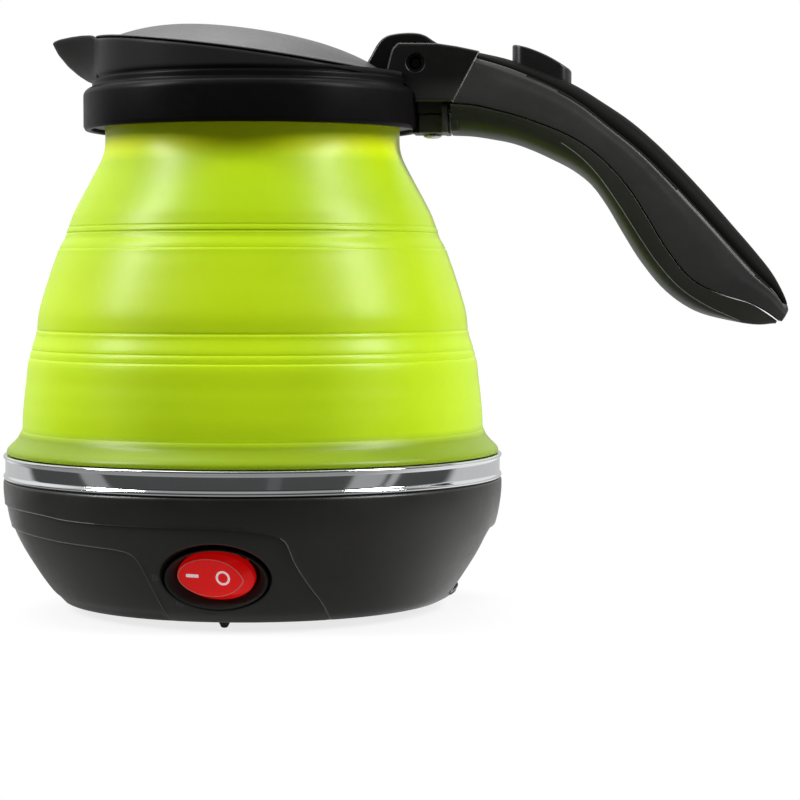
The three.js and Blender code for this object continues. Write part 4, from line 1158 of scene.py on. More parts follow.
# ================================================================== pan with its rolled band
PAN = [(0.0, 25.0), (60.4, 25.0)] + [tuple(p) for p in catmull([(61, 25.05), (65.2, 26.8), (67.8, 30.4), (68.6, 36)], 6)] + \
      [(68.6, 42.7), (68.8, 42.95), (73.3, 42.95), (73.6, 42.75), (73.7, 42.4), (73.7, 37.3), (73.85, 37.05), (74.2, 37.0),
       (74.62, 37.02), (74.86, 37.14), (74.98, 37.38), (74.98, 37.66), (74.88, 37.95), (74.68, 38.2), (74.52, 38.38),
       (74.44, 38.6), (74.42, 38.9), (74.42, 42.2), (74.44, 42.5), (74.54, 42.75), (74.72, 42.92), (74.9, 43.1), (74.99, 43.34),
       (74.97, 43.62), (74.84, 43.85), (74.6, 43.98), (74.2, 44.0), (68.0, 44.0), (67.7, 43.9), (67.6, 43.6), (67.6, 36.2)] + \
      [tuple(p) for p in catmull([(67.6, 36.2), (66.9, 31), (64.6, 27.8), (60.8, 26.05)], 6)][1:] + [(60.2, 26.0), (38.0, 26.0),
       (37.5, 25.85), (37.0, 25.85), (36.5, 26.0), (0.0, 26.0)]
make("pan_with_rolled_band", *lathe(PAN, 320), MAT["steel"], "base", "steel", ["heating_pan"], sharp=34)

# ================================================================== silicone body
SIL_OUT = catmull([(73.9, 44.35), (73.93, 45.0), (73.75, 45.6), (73.1, 46.4), (72.1, 47.35), (71.1, 48.4), (70.35, 49.4),
                   (69.85, 50.5), (69.62, 51.0)], 6)
SIL_LOW = catmull([(69.42, 51.15), (69.25, 52.2), (69.2, 54), (69.05, 57), (68.75, 60), (68.45, 63), (68.05, 66), (67.75, 69),
                   (67.5, 71), (67.25, 72.2)], 5)
RIB_2 = [(67.12, 72.5), (66.98, 72.6), (66.9, 72.78), (66.92, 73.0)] + [tuple(p) for p in catmull([(66.9, 73.15), (66.75, 74.1), (66.55, 74.75)], 4)] + \
        [(66.38, 74.93), (66.28, 75.1), (66.26, 75.3)] + \
        [tuple(p) for p in catmull([(66.3, 75.5), (66.12, 76.3), (65.8, 77.3), (65.42, 78.4), (65.12, 79.4), (64.98, 80.3)], 5)] + \
        [(64.86, 80.65), (64.7, 80.82), (64.64, 81.0), (64.66, 81.2)]
SIL_MID = catmull([(64.72, 81.4), (64.6, 83), (64.3, 85.5), (63.75, 88), (63.05, 90.5), (62.3, 93), (61.45, 95.6), (60.6, 98.2),
                   (59.7, 100.8), (58.8, 103.2), (58.35, 104.6)], 5)
RIB_1 = [(58.2, 104.82), (58.04, 104.95), (57.95, 105.12), (57.9, 105.3)] + \
        [tuple(p) for p in catmull([(57.85, 105.5), (57.5, 106.3), (56.95, 107.2), (56.4, 108.1), (56.05, 109.0), (55.95, 109.4)], 5)] + \
        [(55.78, 109.58), (55.66, 109.72), (55.66, 109.9), (55.76, 110.05)] + \
        [tuple(p) for p in catmull([(55.8, 110.15), (55.66, 110.65), (55.44, 111.15)], 4)] + [(55.24, 111.36), (55.12, 111.52), (55.1, 111.7)]
SIL_TOP = catmull([(55.12, 111.9), (54.65, 113.2), (53.9, 115.2), (52.9, 117.3), (51.6, 119.8), (50.0, 122.7), (48.4, 125.7),
                   (46.85, 128.6), (45.5, 131.3), (44.6, 133.8), (44.2, 136.2), (44.15, 139), (44.2, 141.2)], 6)
SIL = [tuple(p) for q in (SIL_OUT, SIL_LOW, RIB_2, SIL_MID, RIB_1, SIL_TOP) for p in q]
SIL += [(44.2, 145.2), (44.4, 145.4), (46.6, 145.4), (46.8, 145.6), (46.8, 148.4), (46.6, 148.6), (41.9, 148.6), (41.7, 148.4)]
SIL += [tuple(p) for p in catmull([(41.7, 146), (41.7, 141), (41.7, 135.8), (42.9, 131.6), (45.7, 126.1), (49.0, 120), (51.9, 114),
                                   (53.1, 110), (54.1, 106.4), (55.7, 104.1), (57.3, 100), (58.9, 95), (60.4, 90), (61.6, 85.5),
                                   (62.2, 81), (62.4, 76.7), (64.2, 73), (65.1, 69), (65.9, 63), (66.5, 57), (67.0, 52.5),
                                   (67.45, 49.6)], 4)]
SIL += [(67.5, 44.8), (67.6, 44.45), (67.9, 44.32), (73.6, 44.32)]
sil = make("silicone_body", *lathe(SIL, 256), MAT["silicone"], None, "silicone",
           ["silicone_lower_tier", "silicone_mid_tier", "silicone_upper_tier"], sharp=75)
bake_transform(sil)


# ================================================================== collar with the spout
def interp(x, pts):
    a = np.asarray(pts, float)
    return np.interp(x, a[:, 0], a[:, 1])


TIP_OUT = [(153.6, 44.0), (154.3, 46.6), (154.9, 48.4), (155.7, 50.3), (157.4, 53.0), (160.2, 56.3), (163.8, 59.3),
           (166.9, 60.95), (168.6, 61.0)]
TIP_IN = [(156.4, 45.0), (156.9, 46.6), (158.0, 48.6), (160.0, 51.4), (163.4, 54.9), (167.6, 57.6), (172.0, 58.4)]


def vee(alpha, tip, root_x, root_y, round_tip):
    a = np.sqrt(alpha ** 2 + round_tip ** 2)
    a0 = math.atan2(root_y, root_x)
    ce, se = math.cos(round_tip), math.sin(round_tip)
    tip = np.where(tip > root_x + 0.05, tip * (root_y * ce - root_x * se) / (root_y - tip * se), tip)
    b = np.minimum(a, a0)
    k = tip * root_y / (root_y * np.cos(b) + (tip - root_x) * np.sin(b))
    k = k * (1 - 1.1 * np.maximum(0, a - a0))
    return np.where(tip > root_x + 0.05, k, 0.0)


def softmax(a, b, k):
    h = np.clip(0.5 + 0.5 * (a - b) / k, 0, 1)
    return b * (1 - h) + a * h + k * h * (1 - h)


def rim_height(x, y):
    """Top of the wall: the lid seam, rising a little where the spout leaves the lid's edge."""
    r = np.hypot(x, y)
    s = seam_z(x) - 0.08
    t = np.clip((r - 47.6) / 1.1, 0, 1)
    t = t * t * (3 - 2 * t)
    crest = np.interp(-x, [44.0, 47.0, 50.0, 54.0, 58.4, 60.0, 61.1], [167.6, 168.2, 168.45, 168.45, 168.2, 167.95, 167.7])
    return np.where(x < -30, s * (1 - t) + crest * t, s)


def build_collar():
    # angles: dense at the spout, even elsewhere
    al = np.concatenate([np.linspace(0, 6, 13)[:-1], np.linspace(6, 18, 17)[:-1], np.linspace(18, 27, 19)[:-1],
                         np.linspace(27, 180, 88)])
    al = np.radians(al)
    alpha = np.concatenate([al, -al[1:-1][::-1]])           # 0 at the spout, going round
    sgn = np.concatenate([np.ones(len(al)), -np.ones(len(al) - 2)])
    aabs = np.abs(alpha)
    th = PI - alpha
    C, S = np.cos(th), np.sin(th)
    M = len(th)
    rings = []

    def out_r(base, z):
        tip = interp(z, TIP_OUT)
        v = vee(aabs, tip, 43.8, 18.0, 0.026)
        k = np.where(z < 156.2, 0.25, 0.5)
        return np.where(v > 0, softmax(base, v, k), base)

    def ring(r, z):
        r = np.broadcast_to(np.asarray(r, float), (M,))
        z = np.broadcast_to(np.asarray(z, float), (M,))
        rings.append(np.stack([r * C, r * S, z], 1))

    low = rounded([(48.4, 141.0), (48.4, 140.4, 0.35), (50.05, 140.4, 0.45), (50.6, 141.5, 0.6), (50.6, 150.4)], closed=False, n=4)
    for r, z in low:
        ring(r, z)
    # big rounded shoulder
    for a in np.linspace(8, 78, 9):
        a = math.radians(a)
        ring(47.95 + 2.65 * math.cos(a), 150.4 + 2.55 * math.sin(a))
    # small convex edge, then the ring with its rounded bright top
    for r, z in ((48.35, 153.0), (48.12, 153.12), (48.0, 153.3), (47.97, 153.55)):
        ring(out_r(np.full(M, r), z), z)
    lift = 0.0
    for r, z in ((47.95, 153.9), (47.95, 154.3), (47.95, 154.75), (47.88, 155.0), (47.68, 155.2), (47.4, 155.3), (47.1, 155.32),
                 (46.95, 155.4), (46.92, 155.6), (46.95, 155.85), (47.1, 156.1), (47.35, 156.4), (47.45, 156.7)):
        ring(out_r(np.full(M, r), z + lift), z + lift)
    # wall up to the rim
    z0 = 157.0
    # rim height along the outer edge (solve once: the height changes slowly)
    zt = np.full(M, 165.0)
    for _ in range(6):
        r = out_r(np.full(M, 47.5), zt)
        zt = rim_height(r * C, r * S)
    FIL = 0.75
    for s in np.linspace(0, 1, 16):
        z = z0 + s * (zt - FIL - z0)
        ring(out_r(np.full(M, 47.5), z), z)
    r_edge = out_r(np.full(M, 47.5), zt)

    def in_r(base, z):
        tip = interp(z, TIP_IN)
        v = vee(aabs, tip, 43.2, 15.7, 0.05)
        return np.where(v > 0, softmax(base, v, 0.5), base)
    for a in np.radians([18, 38, 58, 76, 90]):
        r = r_edge - FIL * (1 - np.cos(a))
        z = zt - FIL * (1 - np.sin(a))
        ring(r, z)
    r_o = r_edge - FIL
    r_i0 = in_r(np.full(M, 45.4), zt)
    FI = 0.35
    r_i = r_i0 + FI
    for t in (0.25, 0.5, 0.75, 1.0):
        r = r_o + (r_i - r_o) * t
        x, y = r * C, r * S
        ring(r, rim_height(x, y))
    zi = rim_height(r_i * C, r_i * S)
    for a in np.radians([30, 60, 90]):
        ring(r_i - FI * np.sin(a), zi - FI * (1 - np.cos(a)))
    for s in np.linspace(0.0, 1, 16)[1:]:
        z = (zi - FI) + s * (151.8 - (zi - FI))
        ring(in_r(np.full(M, 45.4), z), z)
    for r, z in ((45.3, 151.58), (45.1, 151.5), (40.55, 151.5), (40.3, 151.4), (40.2, 151.15), (40.2, 149.2), (40.35, 148.95),
                 (40.6, 148.9), (48.1, 148.9), (48.4, 148.6)):
        ring(r, z)
    v, f = loft(rings, cap=False)
    n = len(rings)
    f += [[(n - 1) * M + i, (n - 1) * M + (i + 1) % M, (i + 1) % M, i] for i in range(M)]
    body = (v, f)
    # ear for the handle
    ear = plate(rounded([(48.7, 139.4), (59.3, 139.4, 0.6), (59.3, 144.9, 0.3), (48.7, 144.9)], n=4), -7.5, 7.5, 0.5, 0.5, side)
    ear = carve(ear, loft([np.column_stack([circle(54.2, 0, r, 32), np.full(32, z)]) for r, z in
                           ((3.2, 138.9), (3.2, 139.5), (1.75, 139.6), (1.75, 145.5))]))
    tab = plate(rounded([(-10.5, 139.4, 0.8), (10.5, 139.4, 0.8), (10.5, 148.0, 1.6), (-10.5, 148.0, 1.6)], n=5), 57.6, 59.3, 0.25, 0.25,
                lambda a, b, d: np.stack([d, a, b], 1))
    return merge(body, ear, tab)


make("collar_with_spout", *build_collar(), MAT["collar"], "head", "black", ["collar"], sharp=38, weld=3e-6)


def build_filter():
    out = rounded([(-14.5, 151.8, 0.8), (14.5, 151.8, 0.8), (14.5, 163.6, 2.5), (-14.5, 163.6, 2.5)], n=5)
    holes = []
    for j in range(6):
        z = 153.2 + j * 1.8
        n = 15 if j % 2 == 0 else 14
        for i in range(n):
            holes.append(circle((i - (n - 1) / 2) * 1.8, z, 0.55, 10))
    return plate_holes(out, holes, -42.3, -41.5, 0.12, 0.12, lambda a, b, d: np.stack([d, a, b], 1), chamfer=0.06, steps=3)


make("spout_filter_sheet", *build_filter(), MAT["satin_steel"], "head", "steel", ["spout_filter"], sharp=30)


# ================================================================== lid
def dome_h(x, y):
    q = 1 - np.maximum((x / 42.5) ** 2 + (y / 43.5) ** 2, 1e-9) ** 1.4
    k = 0.03
    soft = 0.5 * (q + np.sqrt(q * q + k * k * 4)) - 0.5 * (np.sqrt(1 + k * k * 4) - 1) * np.clip(q, 0, 1)
    return 0.93 + 8.42 * np.maximum(0, soft)


def build_lid():
    R = 47.05
    a0 = math.asin(13.2 / R)
    arc = [(R * math.cos(a), R * math.sin(a)) for a in np.linspace(a0, 2 * PI - a0, 260)]
    out = [(39.6, 13.2, 1.6), *arc, (39.6, -13.2, 1.6)]
    out[1] = (*out[1][:2], 0.5)
    out[-2] = (*out[-2][:2], 0.5)
    out = rounded(out, n=5)
    out = resample(out, 300, True)
    rings = []

    def ring(d, h, rel_dome=False):
        q = inset(out, d)
        z = seam_z(q[:, 0]) + (dome_h(q[:, 0], q[:, 1]) if rel_dome else 0) + h
        rings.append(np.column_stack([q, z]))
        return q
    ring(1.2, 0.3)
    ring(0.6, 0.3)
    ring(0.25, 0.35)
    ring(0.06, 0.46)
    ring(0.0, 0.62)
    ring(0.07, 0.78)
    ring(0.22, 0.89)
    ring(0.45, 0.94)
    q0 = ring(0.8, 0.0, True)
    q1 = ring(1.5, 0.0, True)
    v, f = loft(rings, cap=False)
    base = len(v) - len(q1)
    # crowned skin inside the last ring
    step = 1.5
    gx = np.arange(-46, 46, step)
    G = []
    for j, y in enumerate(np.arange(-46, 46.1, step * 0.866)):
        G += [(x + (step / 2 if j % 2 else 0), y) for x in gx]
    G = np.array(G)
    d, _ = dist_to(G, q1, True)
    G = G[inside(G, q1) & (d > 0.9)]
    V2, tri, _ = fill(np.vstack([q1, G]), [(list(range(len(q1))), True)])
    tri = tri[inside(V2[tri].mean(1), q1)]
    top = np.column_stack([V2, seam_z(V2[:, 0]) + dome_h(V2[:, 0], V2[:, 1])])
    # underside: flat ring, then the hollow under the crown
    low = rings[0]
    ring2 = np.column_stack([inset(out, 2.3), seam_z(inset(out, 2.3)[:, 0]) + 0.3])
    q3 = inset(out, 2.6)
    ring3 = np.column_stack([q3, seam_z(q3[:, 0]) + 0.5])
    under = loft([low, ring2, ring3], cap=False)
    V3, tri3, _ = fill(q3, [(list(range(len(q3))), True)])
    tri3 = tri3[inside(V3[tri3].mean(1), q3)]
    roof = (np.column_stack([V3, seam_z(V3[:, 0]) + 0.5]), [list(t)[::-1] for t in tri3])
    return merge((v, f), (top, [list(t) for t in tri]), under, roof)


make("lid_cover_dome", *build_lid(), MAT["lid"], "lid", "black", ["lid_cover"], sharp=40, weld=3e-6)


def polar(r, deg):
    return (PIN_X + r * math.cos(math.radians(deg)), PIN_Z + r * math.sin(math.radians(deg)))


ARCH = catmull([(35.1, 160.2), (35.8, 161.4), (36.5, 162.6), (37.4, 164.3), (38.4, 165.9), (39.6, 167.2), (41.3, 168.2), (43.2, 168.65),
                (45.1, 168.9), (48.2, 169.0), (50.6, 168.75), (52.6, 168.05), (54.5, 166.8), polar(8.8, 40), polar(8.9, 28)], 5)
ARM = [(x, z) for x, z in ARCH] + [(*polar(8.9, 23.5), 0.5), (*polar(6.2, 24), 0.5), polar(5.2, 350), polar(5.0, 320), polar(5.0, 290),
                                   polar(5.0, 258), (46.0, 155.9), (41.0, 156.2), (36.5, 157.4, 1.0), (32.0, 158.4), (32.6, 160.4)]
ARM = rounded(ARM, n=3)
pin_hole = circle(PIN_X, PIN_Z, 1.8, 32)
make("lid_hinge_arm", *plate_holes(ARM, [pin_hole], -7.5, 7.5, 1.0, 1.0, side, chamfer=0.15, steps=5), MAT["gloss"], "lid", "black",
     sharp=35)
INNER = rounded([(0, -4.4), (33.6, -4.4, 0.6), (34.9, -3.2, 0.5), (40.6, -3.2, 0.25), (40.6, -2.4, 0.2), (0, -2.4)], closed=False, n=4)
inner_plate = lathe(INNER, 160, tilt=True)
t_ = math.atan(SEAM_SLOPE)
make("lid_inner_disc", *inner_plate, MAT["inner"], "lid", "black", ["lid_inner_plate"], sharp=30)
SEALP = rounded([(37.5, -2.1, 0.3), (44.2, -2.1, 0.4), (44.7, -1.6, 0.3), (44.7, -1.0, 0.3), (43.6, -0.3, 0.3), (37.5, -0.3, 0.2)], n=4)
make("lid_seal_ring", *lathe(SEALP, 160, tilt=True), MAT["seal"], "lid", "seal", ["lid_seal"], sharp=40)
nrm_seam = (-math.sin(t_) * 1.0, 0, -math.cos(t_))
for k, (x, y) in enumerate(((-22, 16), (-22, -16), (20, 0))):
    make("lid_screw_head_%d" % (k + 1), *screw((x, y, seam_z(x) - 5.0), (0, 0, -1), 2.6, 1.2, 1.1, 7.6), MAT["screw"], "lid", "steel",
         ["lid_screw_%d" % (k + 1)], sharp=30)


# ================================================================== handle
H_T = [(68.55, 163.25), (76.1, 161.5), (83.1, 159.15), (90.2, 156.4), (97.3, 153.2), (104.8, 148.5), (112.8, 143.1), (120.3, 136.7),
       (127.4, 129.7), (135.6, 120.9), (144.0, 111.3), (149.7, 104.7), (155.0, 98.0), (158.0, 92.8), (159.4, 89.7), (159.9, 87.5)]
H_S = [(60.5, 147.85), (67.5, 147.15), (74, 145.6), (80.5, 143.8), (87.5, 141.3), (94.4, 138.4), (101.2, 134.2), (107.2, 128.9),
       (112.6, 122.7), (118.0, 114.3), (124.2, 104.2), (131.5, 95.8), (140.2, 91.6), (149, 88.8), (154.0, 86.1), (157.4, 83.55)]
L_S = [(60.25, 147.75), (67.5, 147.1), (74, 145.6), (80.5, 143.8), (87.5, 141.3), (94.4, 138.4), (101.2, 134.2), (107.2, 128.9),
       (112.6, 122.7), (118.0, 114.3), (124.2, 104.2), (131.5, 95.8), (140.2, 91.6), (149, 88.8), (153.3, 86.2), (156.2, 84.2)]
L_B = [(60.25, 139), (66.3, 138.7), (72.2, 137.8), (78.1, 136.6), (84, 134.5), (89.9, 131.8), (96, 128.6), (101.7, 124.1),
       (106.2, 118), (110.8, 110.2), (116.5, 101.2), (124, 92.4), (132.5, 86.7), (143, 83.8), (150.6, 82.7), (155.6, 83.05)]
H_W = [12, 12, 12.2, 12.5, 12.8, 13.1, 13.35, 13.4, 13.35, 13.2, 12.7, 12, 10.8, 8.9, 7.1, 5.2]
LEDGE = [(43.8, 163.8), (56.5, 163.7), (67.5, 161.1), (78.4, 157.7), (90.2, 152.6), (98.6, 147.6), (106.9, 140.9), (115.4, 134.1),
         (123.7, 126.1), (132.1, 117.3), (140.5, 108.1), (148.9, 98.9), (155.6, 92.2), (158.9, 87.2)]
PER = 5


def cross_at(P, Q, line):
    """Distance from P towards Q at which the segment meets the polyline."""
    d = Q - P
    L = np.linalg.norm(d)
    d = d / L
    best = None
    for a, b in zip(line[:-1], line[1:]):
        e = b - a
        den = d[0] * e[1] - d[1] * e[0]
        if abs(den) < 1e-9:
            continue
        w = a - P
        s = (w[0] * e[1] - w[1] * e[0]) / den
        t = (w[0] * d[1] - w[1] * d[0]) / den
        if -0.02 <= t <= 1.02 and -3 < s < L + 3 and (best is None or s < best):
            best = s
    return best


UT = catmull(H_T, PER)
US = catmull(H_S, PER)
UW = catmull([(k * 3.0, w) for k, w in enumerate(H_W)], PER)[:, 1]
LEDGE_C = catmull(LEDGE, 8)
NS = len(UT)
U_H = np.linalg.norm(UT - US, axis=1)
U_DIR = (UT - US) / U_H[:, None]
LEDGE_D = np.array([cross_at(UT[k], US[k], LEDGE_C) or 1.0 for k in range(NS)])
LEDGE_D = np.clip(LEDGE_D, 0.2, None)
for k in range(NS):                       # beyond the insert the crown closes over the tip
    if UT[k, 0] > 158.6:
        LEDGE_D[k] = min(LEDGE_D[k], 0.3 * U_H[k])
LEDGE_H = U_H - LEDGE_D                   # height of the ledge above the seam


def half_insert(k):
    """Half width of the top insert at a station; it narrows to a rounded end near the tip."""
    w = min(9.9, UW[k] - 3.05)
    x = UT[k, 0]
    end = 159.7
    if x > end - 5.0:
        t = (x - (end - 5.0)) / 5.0
        w = w * math.sqrt(max(0.0, 1 - min(1, t) ** 2.2))
    return max(0.0, w)


HALF = np.array([half_insert(k) for k in range(NS)])


def section(k, pts):
    """Points (sideways, up from the seam) of station k, in space."""
    q = np.asarray(pts, float)
    o, d = US[k], U_DIR[k]
    return np.stack([o[0] + d[0] * q[:, 1], q[:, 0], o[1] + d[1] * q[:, 1]], 1)


def upper_half(k):
    """Outside of the right-hand half, from the seam to the middle, fixed number of points."""
    W, H, L, wi = UW[k], U_H[k], LEDGE_H[k], HALF[k]
    f = min(1.0, L / 13.0)
    e = 0.17
    cr = 1.35 * f                                     # crease below the ledge
    p = [(W - 0.62, 0.17), (W - 0.34, 0.2), (W - 0.2, 0.34)]
    a = min(1.0, k / 9.0)                             # the wall is flush with the cheeks at first
    a = a * a * (3 - 2 * a)
    wall = catmull([(W - 0.17, 0.45), (W - 0.03, 0.2 * L), (W, 0.42 * L), (W - 0.1 * a, 0.64 * L), (W - 0.42 * a, L - cr - 1.8 * f),
                    (W - 0.1 - 0.62 * a, L - cr - 0.12)], 4)
    p += [tuple(q) for q in wall]
    p += [(W - 0.16 - 0.7 * a, L - cr + 0.06), (W - 0.3 - 0.7 * a, L - cr + 0.28)]
    p += [(W - 0.75 - 0.57 * a, L - 0.62 * f), (W - 0.95 - 0.5 * a, L - 0.42 * f), (W - 1.25 - 0.37 * a, L - 0.22 * f),
          (W - 1.6 - 0.24 * a, L - 0.08 * f), (W - 2.1, L - 0.01)]
    crown = H - L
    g = min(1.0, wi / 2.0)                            # the groove fades out with the insert
    yi = max(wi + 0.28, 0.0)
    top = lambda y: L + crown * (1 - g) * max(0.0, 1 - (y / max(0.1, W - 1.9)) ** 2.2) ** 0.5
    ledge_in = min(W - 2.2, yi + 0.12) if wi > 0.4 else (W - 2.2) * 0.92
    for t in (0.5, 1.0):
        y = (W - 2.1) + (ledge_in - (W - 2.1)) * t
        p.append((y, top(y)))
    y1 = min(ledge_in - 0.05, yi) if wi > 0.4 else (W - 2.2) * 0.84
    p.append((y1, top(y1) - 0.12 * g))
    p.append((y1 * 0.999, top(y1) - 0.9 * g))
    for t in (0.8, 0.6, 0.4, 0.2, 0.0):
        y = y1 * t
        p.append((y, top(y) - 0.9 * g))
    return p


def c_section(outer, inner):
    """Closed section from the outside half (seam to middle) and the inside half."""
    o = np.asarray(outer, float)
    i = np.asarray(inner, float)
    mir = lambda a: a[:, :] * np.array([-1, 1])
    return np.vstack([o, mir(o)[::-1][1:], mir(i), i[::-1][1:]])


def upper_inner(k):
    W, H, L, wi = UW[k], U_H[k], LEDGE_H[k], HALF[k]
    t = min(2.0, W * 0.35)
    roof = max(0.6, L - 2.3)
    return [(W - t, 0.17), (W - t, 0.5 * roof), (W - t - 0.1, 0.85 * roof), (W - t - 0.6, roof), ((W - t) * 0.5, roof), (0.0, roof)]


def build_upper():
    rings = []
    for k in range(NS):
        sec = c_section(upper_half(k), upper_inner(k))
        rings.append(section(k, sec))
        if k == 0:                            # fine bevel along the slanting joint
            mid = np.array([0.0, 0.5 * U_H[0]])
            full = rings.pop()
            along = np.array([US[1][0] - US[0][0], 0, US[1][1] - US[0][1]])
            along /= np.linalg.norm(along)
            rings.append(section(0, mid + (sec - mid) * np.array([0.972, 0.976])))
            rings.append(full + along * 0.3)
    # rounded end
    k = NS - 1
    ax = np.array([U_DIR[k][1], 0, -U_DIR[k][0]])
    sec = c_section(upper_half(k), upper_inner(k))
    c = np.array([0.0, 0.45 * U_H[k]])
    for a in (30, 60, 85):
        a = math.radians(a)
        s = 0.35 + 0.65 * math.cos(a)
        q = c + (sec - c) * np.array([s, s])
        r = section(k, q) + ax * 0.42 * math.sin(a)
        rings.append(r)
    v, f = loft(rings, cap=True)
    v[:, 0] = np.minimum(v[:, 0], 160.25)
    slot_out = stadium(77.5, 96.1, 5.95)
    cutter = loft([np.column_stack([slot_out, np.full(len(slot_out), z)]) for z in (144.0, 172.0)])
    part = carve((v, f), cutter)
    return part


def stadium(x0, x1, w, n=16, nose=0.62):
    """Plan outline with round ends."""
    a = np.linspace(-PI / 2, PI / 2, n)
    right = [(x1 - w * nose + w * nose * math.cos(t), w * math.sin(t)) for t in a]
    left = [(x0 + w * nose - w * nose * math.cos(t), -w * math.sin(t)) for t in a]
    pts = np.array(right + left)
    return resample(pts, 96, True)


upper = build_upper()

# hinge cheeks: plates on both sides of the knuckle, cut off along the slanting joint
CHEEK = [(61.5, 148.32, 0.2), (72.0, 148.32, 0.2), (74.0, 161.75, 0.3), (67.3, 163.35, 1.0), (62.0, 164.5, 3.0), (56.2, 165.4, 3.0),
         (44.6, 165.6, 1.3), (42.9, 163.8, 1.0), (42.0, 160.6, 2.0), (41.3, 157.7, 0.5), (43.2, 155.2, 0.6), (45.9, 153.2, 0.6),
         (47.4, 152.2, 0.6), (48.9, 150.4, 0.6), (49.7, 148.32, 0.4)]
ch = rounded(CHEEK, n=6)
ch = resample(ch, 200, True)
hole = circle(PIN_X, PIN_Z, 2.75, 40)
J0, J1 = np.array([60.55, 147.9]), np.array([68.5, 162.85])
J_D = (J1 - J0) / np.linalg.norm(J1 - J0)
J_N = np.array([J_D[1], -J_D[0]])


def cheek(s):
    place = lambda a, b, d: np.stack([a, s * d, b], 1)
    body = plate_holes(ch, [hole], 8.2, 12.0, 0.3, 0.95, place, chamfer=0.28, steps=7)
    a, b = J0 - J_D * 8 + J_N * 0.02, J1 + J_D * 8 + J_N * 0.02
    quad = np.array([a, b, b + J_N * 16, a + J_N * 16])
    cut = loft([np.stack([quad[:, 0], np.full(4, y), quad[:, 1]], 1) for y in ((6.0, 14.0) if s > 0 else (-14.0, -6.0))])
    v, f = carve(body, cut)
    v = np.asarray(v, float)
    floor = loft([side(circle(PIN_X, PIN_Z, r, 40)[:, 0], circle(PIN_X, PIN_Z, r, 40)[:, 1], np.full(40, s * y)) for r, y in
                  ((2.76, 11.0), (1.9, 11.0), (1.9, 8.25), (2.76, 8.25))], cap=False)
    fv, ff = floor
    n = 40
    ff = ff + [[3 * n + i, 3 * n + (i + 1) % n, (i + 1) % n, i] for i in range(n)]
    return merge((v, f), (fv, ff))


# front wall between the cheeks, latch bearings
wall = plate(rounded([(-11.4, 139.6 + 8.5, 0.5), (11.4, 148.1, 0.5), (11.4, 151.2, 0.8), (-11.4, 151.2, 0.8)], n=3), 60.0, 62.6, 0.3, 0.3,
             lambda a, b, d: np.stack([d, a, b], 1))
nose = [(50.85 * math.cos(math.radians(a)), 50.85 * math.sin(math.radians(a))) for a in np.linspace(8.3, -8.3, 15)]
tongue = plate(np.array([(61.0, -7.4), (61.0, 7.4), *nose]), 145.2, 150.3, 0.2, 0.3, plan)
bear = []
for s in (-1, 1):
    for_ring = [(3.4, 4.0), (3.4, 11.0), (1.5, 11.0), (1.5, 4.0)]
    bv, bf = loft([side(circle(*LATCH, r, 32)[:, 0], circle(*LATCH, r, 32)[:, 1], np.full(32, s * y)) for r, y in for_ring], cap=False)
    bf = bf + [[96 + i, 96 + (i + 1) % 32, (i + 1) % 32, i] for i in range(32)]
    bear.append((bv, bf))
grip = make("handle_upper_half", *merge(upper, cheek(1), cheek(-1), wall, tongue, *bear), MAT["handle"], "head", "handle",
            ["handle_upper_shell"], sharp=34, weld=3e-6)
# painted highlight: a light line along the slanting joint of the grip
go = np.array([US[1][0] - US[0][0], 0, US[1][1] - US[0][1]])
go /= np.linalg.norm(go)
joint = [[section(0, [(s * (UW[0] - 0.3), h)])[0] + go * 0.15 for h in np.linspace(0.35, LEDGE_H[0] - 0.2, 20)] for s in (1, -1)]
mark_faces(grip, MAT["line"], joint, 0.33)
# painted shade: the grip's rounded shoulder under the ledge is given the insert's darker black
ks = [k for k in range(NS) if 84 < UT[k, 0] < 157.0]
on_top = lambda k, s, y, h: section(k, [(s * y, h)])[0]
mark_faces(grip, MAT["insert"], [[on_top(k, s, UW[k] - 1.4, LEDGE_H[k] - 0.2) for k in ks] for s in (1, -1)], 0.60)
# painted highlight: a light line along the edge of the ledge
ks = [k for k in range(NS) if 98 < UT[k, 0] < 157.0]
mark_faces(grip, MAT["line"], [[on_top(k, s, 0.5 * (UW[k] - 2.1 + min(UW[k] - 2.2, HALF[k] + 0.4)), LEDGE_H[k]) for k in ks] for s in (1, -1)], 0.2)

# lower shell
LS, LB = catmull(L_S, PER), catmull(L_B, PER)
LH = np.linalg.norm(LS - LB, axis=1)
LDIR = (LS - LB) / LH[:, None]
CREASE = catmull([(60.2, 146.2), (68, 145.3), (76.7, 143.4), (82.5, 141.4), (88.5, 138.7), (97, 133.2), (102.9, 127.5), (109.6, 118.2),
                  (115.5, 109.0), (121.4, 100.5), (128.0, 93.4), (136.0, 88.2), (141.5, 85.7), (146.0, 83.7), (149.5, 82.3), (157.5, 81.0)], 5)


def low_section(k, pts):
    q = np.asarray(pts, float)
    o, d = LS[k], LDIR[k]
    return np.stack([o[0] - d[0] * q[:, 1], q[:, 0], o[1] - d[1] * q[:, 1]], 1)


CR_D = np.array([np.clip(cross_at(LS[k], LB[k], CREASE) or (0.5 if LS[k, 0] < 140 else 1.0) * LH[k], 0.16 * LH[k], LH[k] - 0.5)
                 for k in range(NS)])


def lower_half(k):
    W, H, c = UW[k], LH[k], CR_D[k]
    p = [(W - 0.62, 0.17), (W - 0.36, 0.2), (W - 0.22, 0.34)]
    cc = min(max(0.6, c), H - 0.5)
    p += [(W - 0.2, 0.4 + 0.2 * (cc - 0.4)), (W - 0.22, 0.4 + 0.5 * (cc - 0.4)), (W - 0.36, 0.4 + 0.85 * (cc - 0.4))]
    p += [(W - 0.46, cc + 0.02), (W - 0.6, cc + 0.18)]
    # rounded underside
    y0, h0 = W - 0.72, cc + 0.34
    for a in np.linspace(0, PI / 2, 15)[1:]:
        y = y0 * math.cos(a) ** 0.80 if a < PI / 2 - 1e-6 else 0.0
        h = h0 + max(0.12, H - h0) * math.sin(a) ** 0.86
        p.append((y, h))
    return p


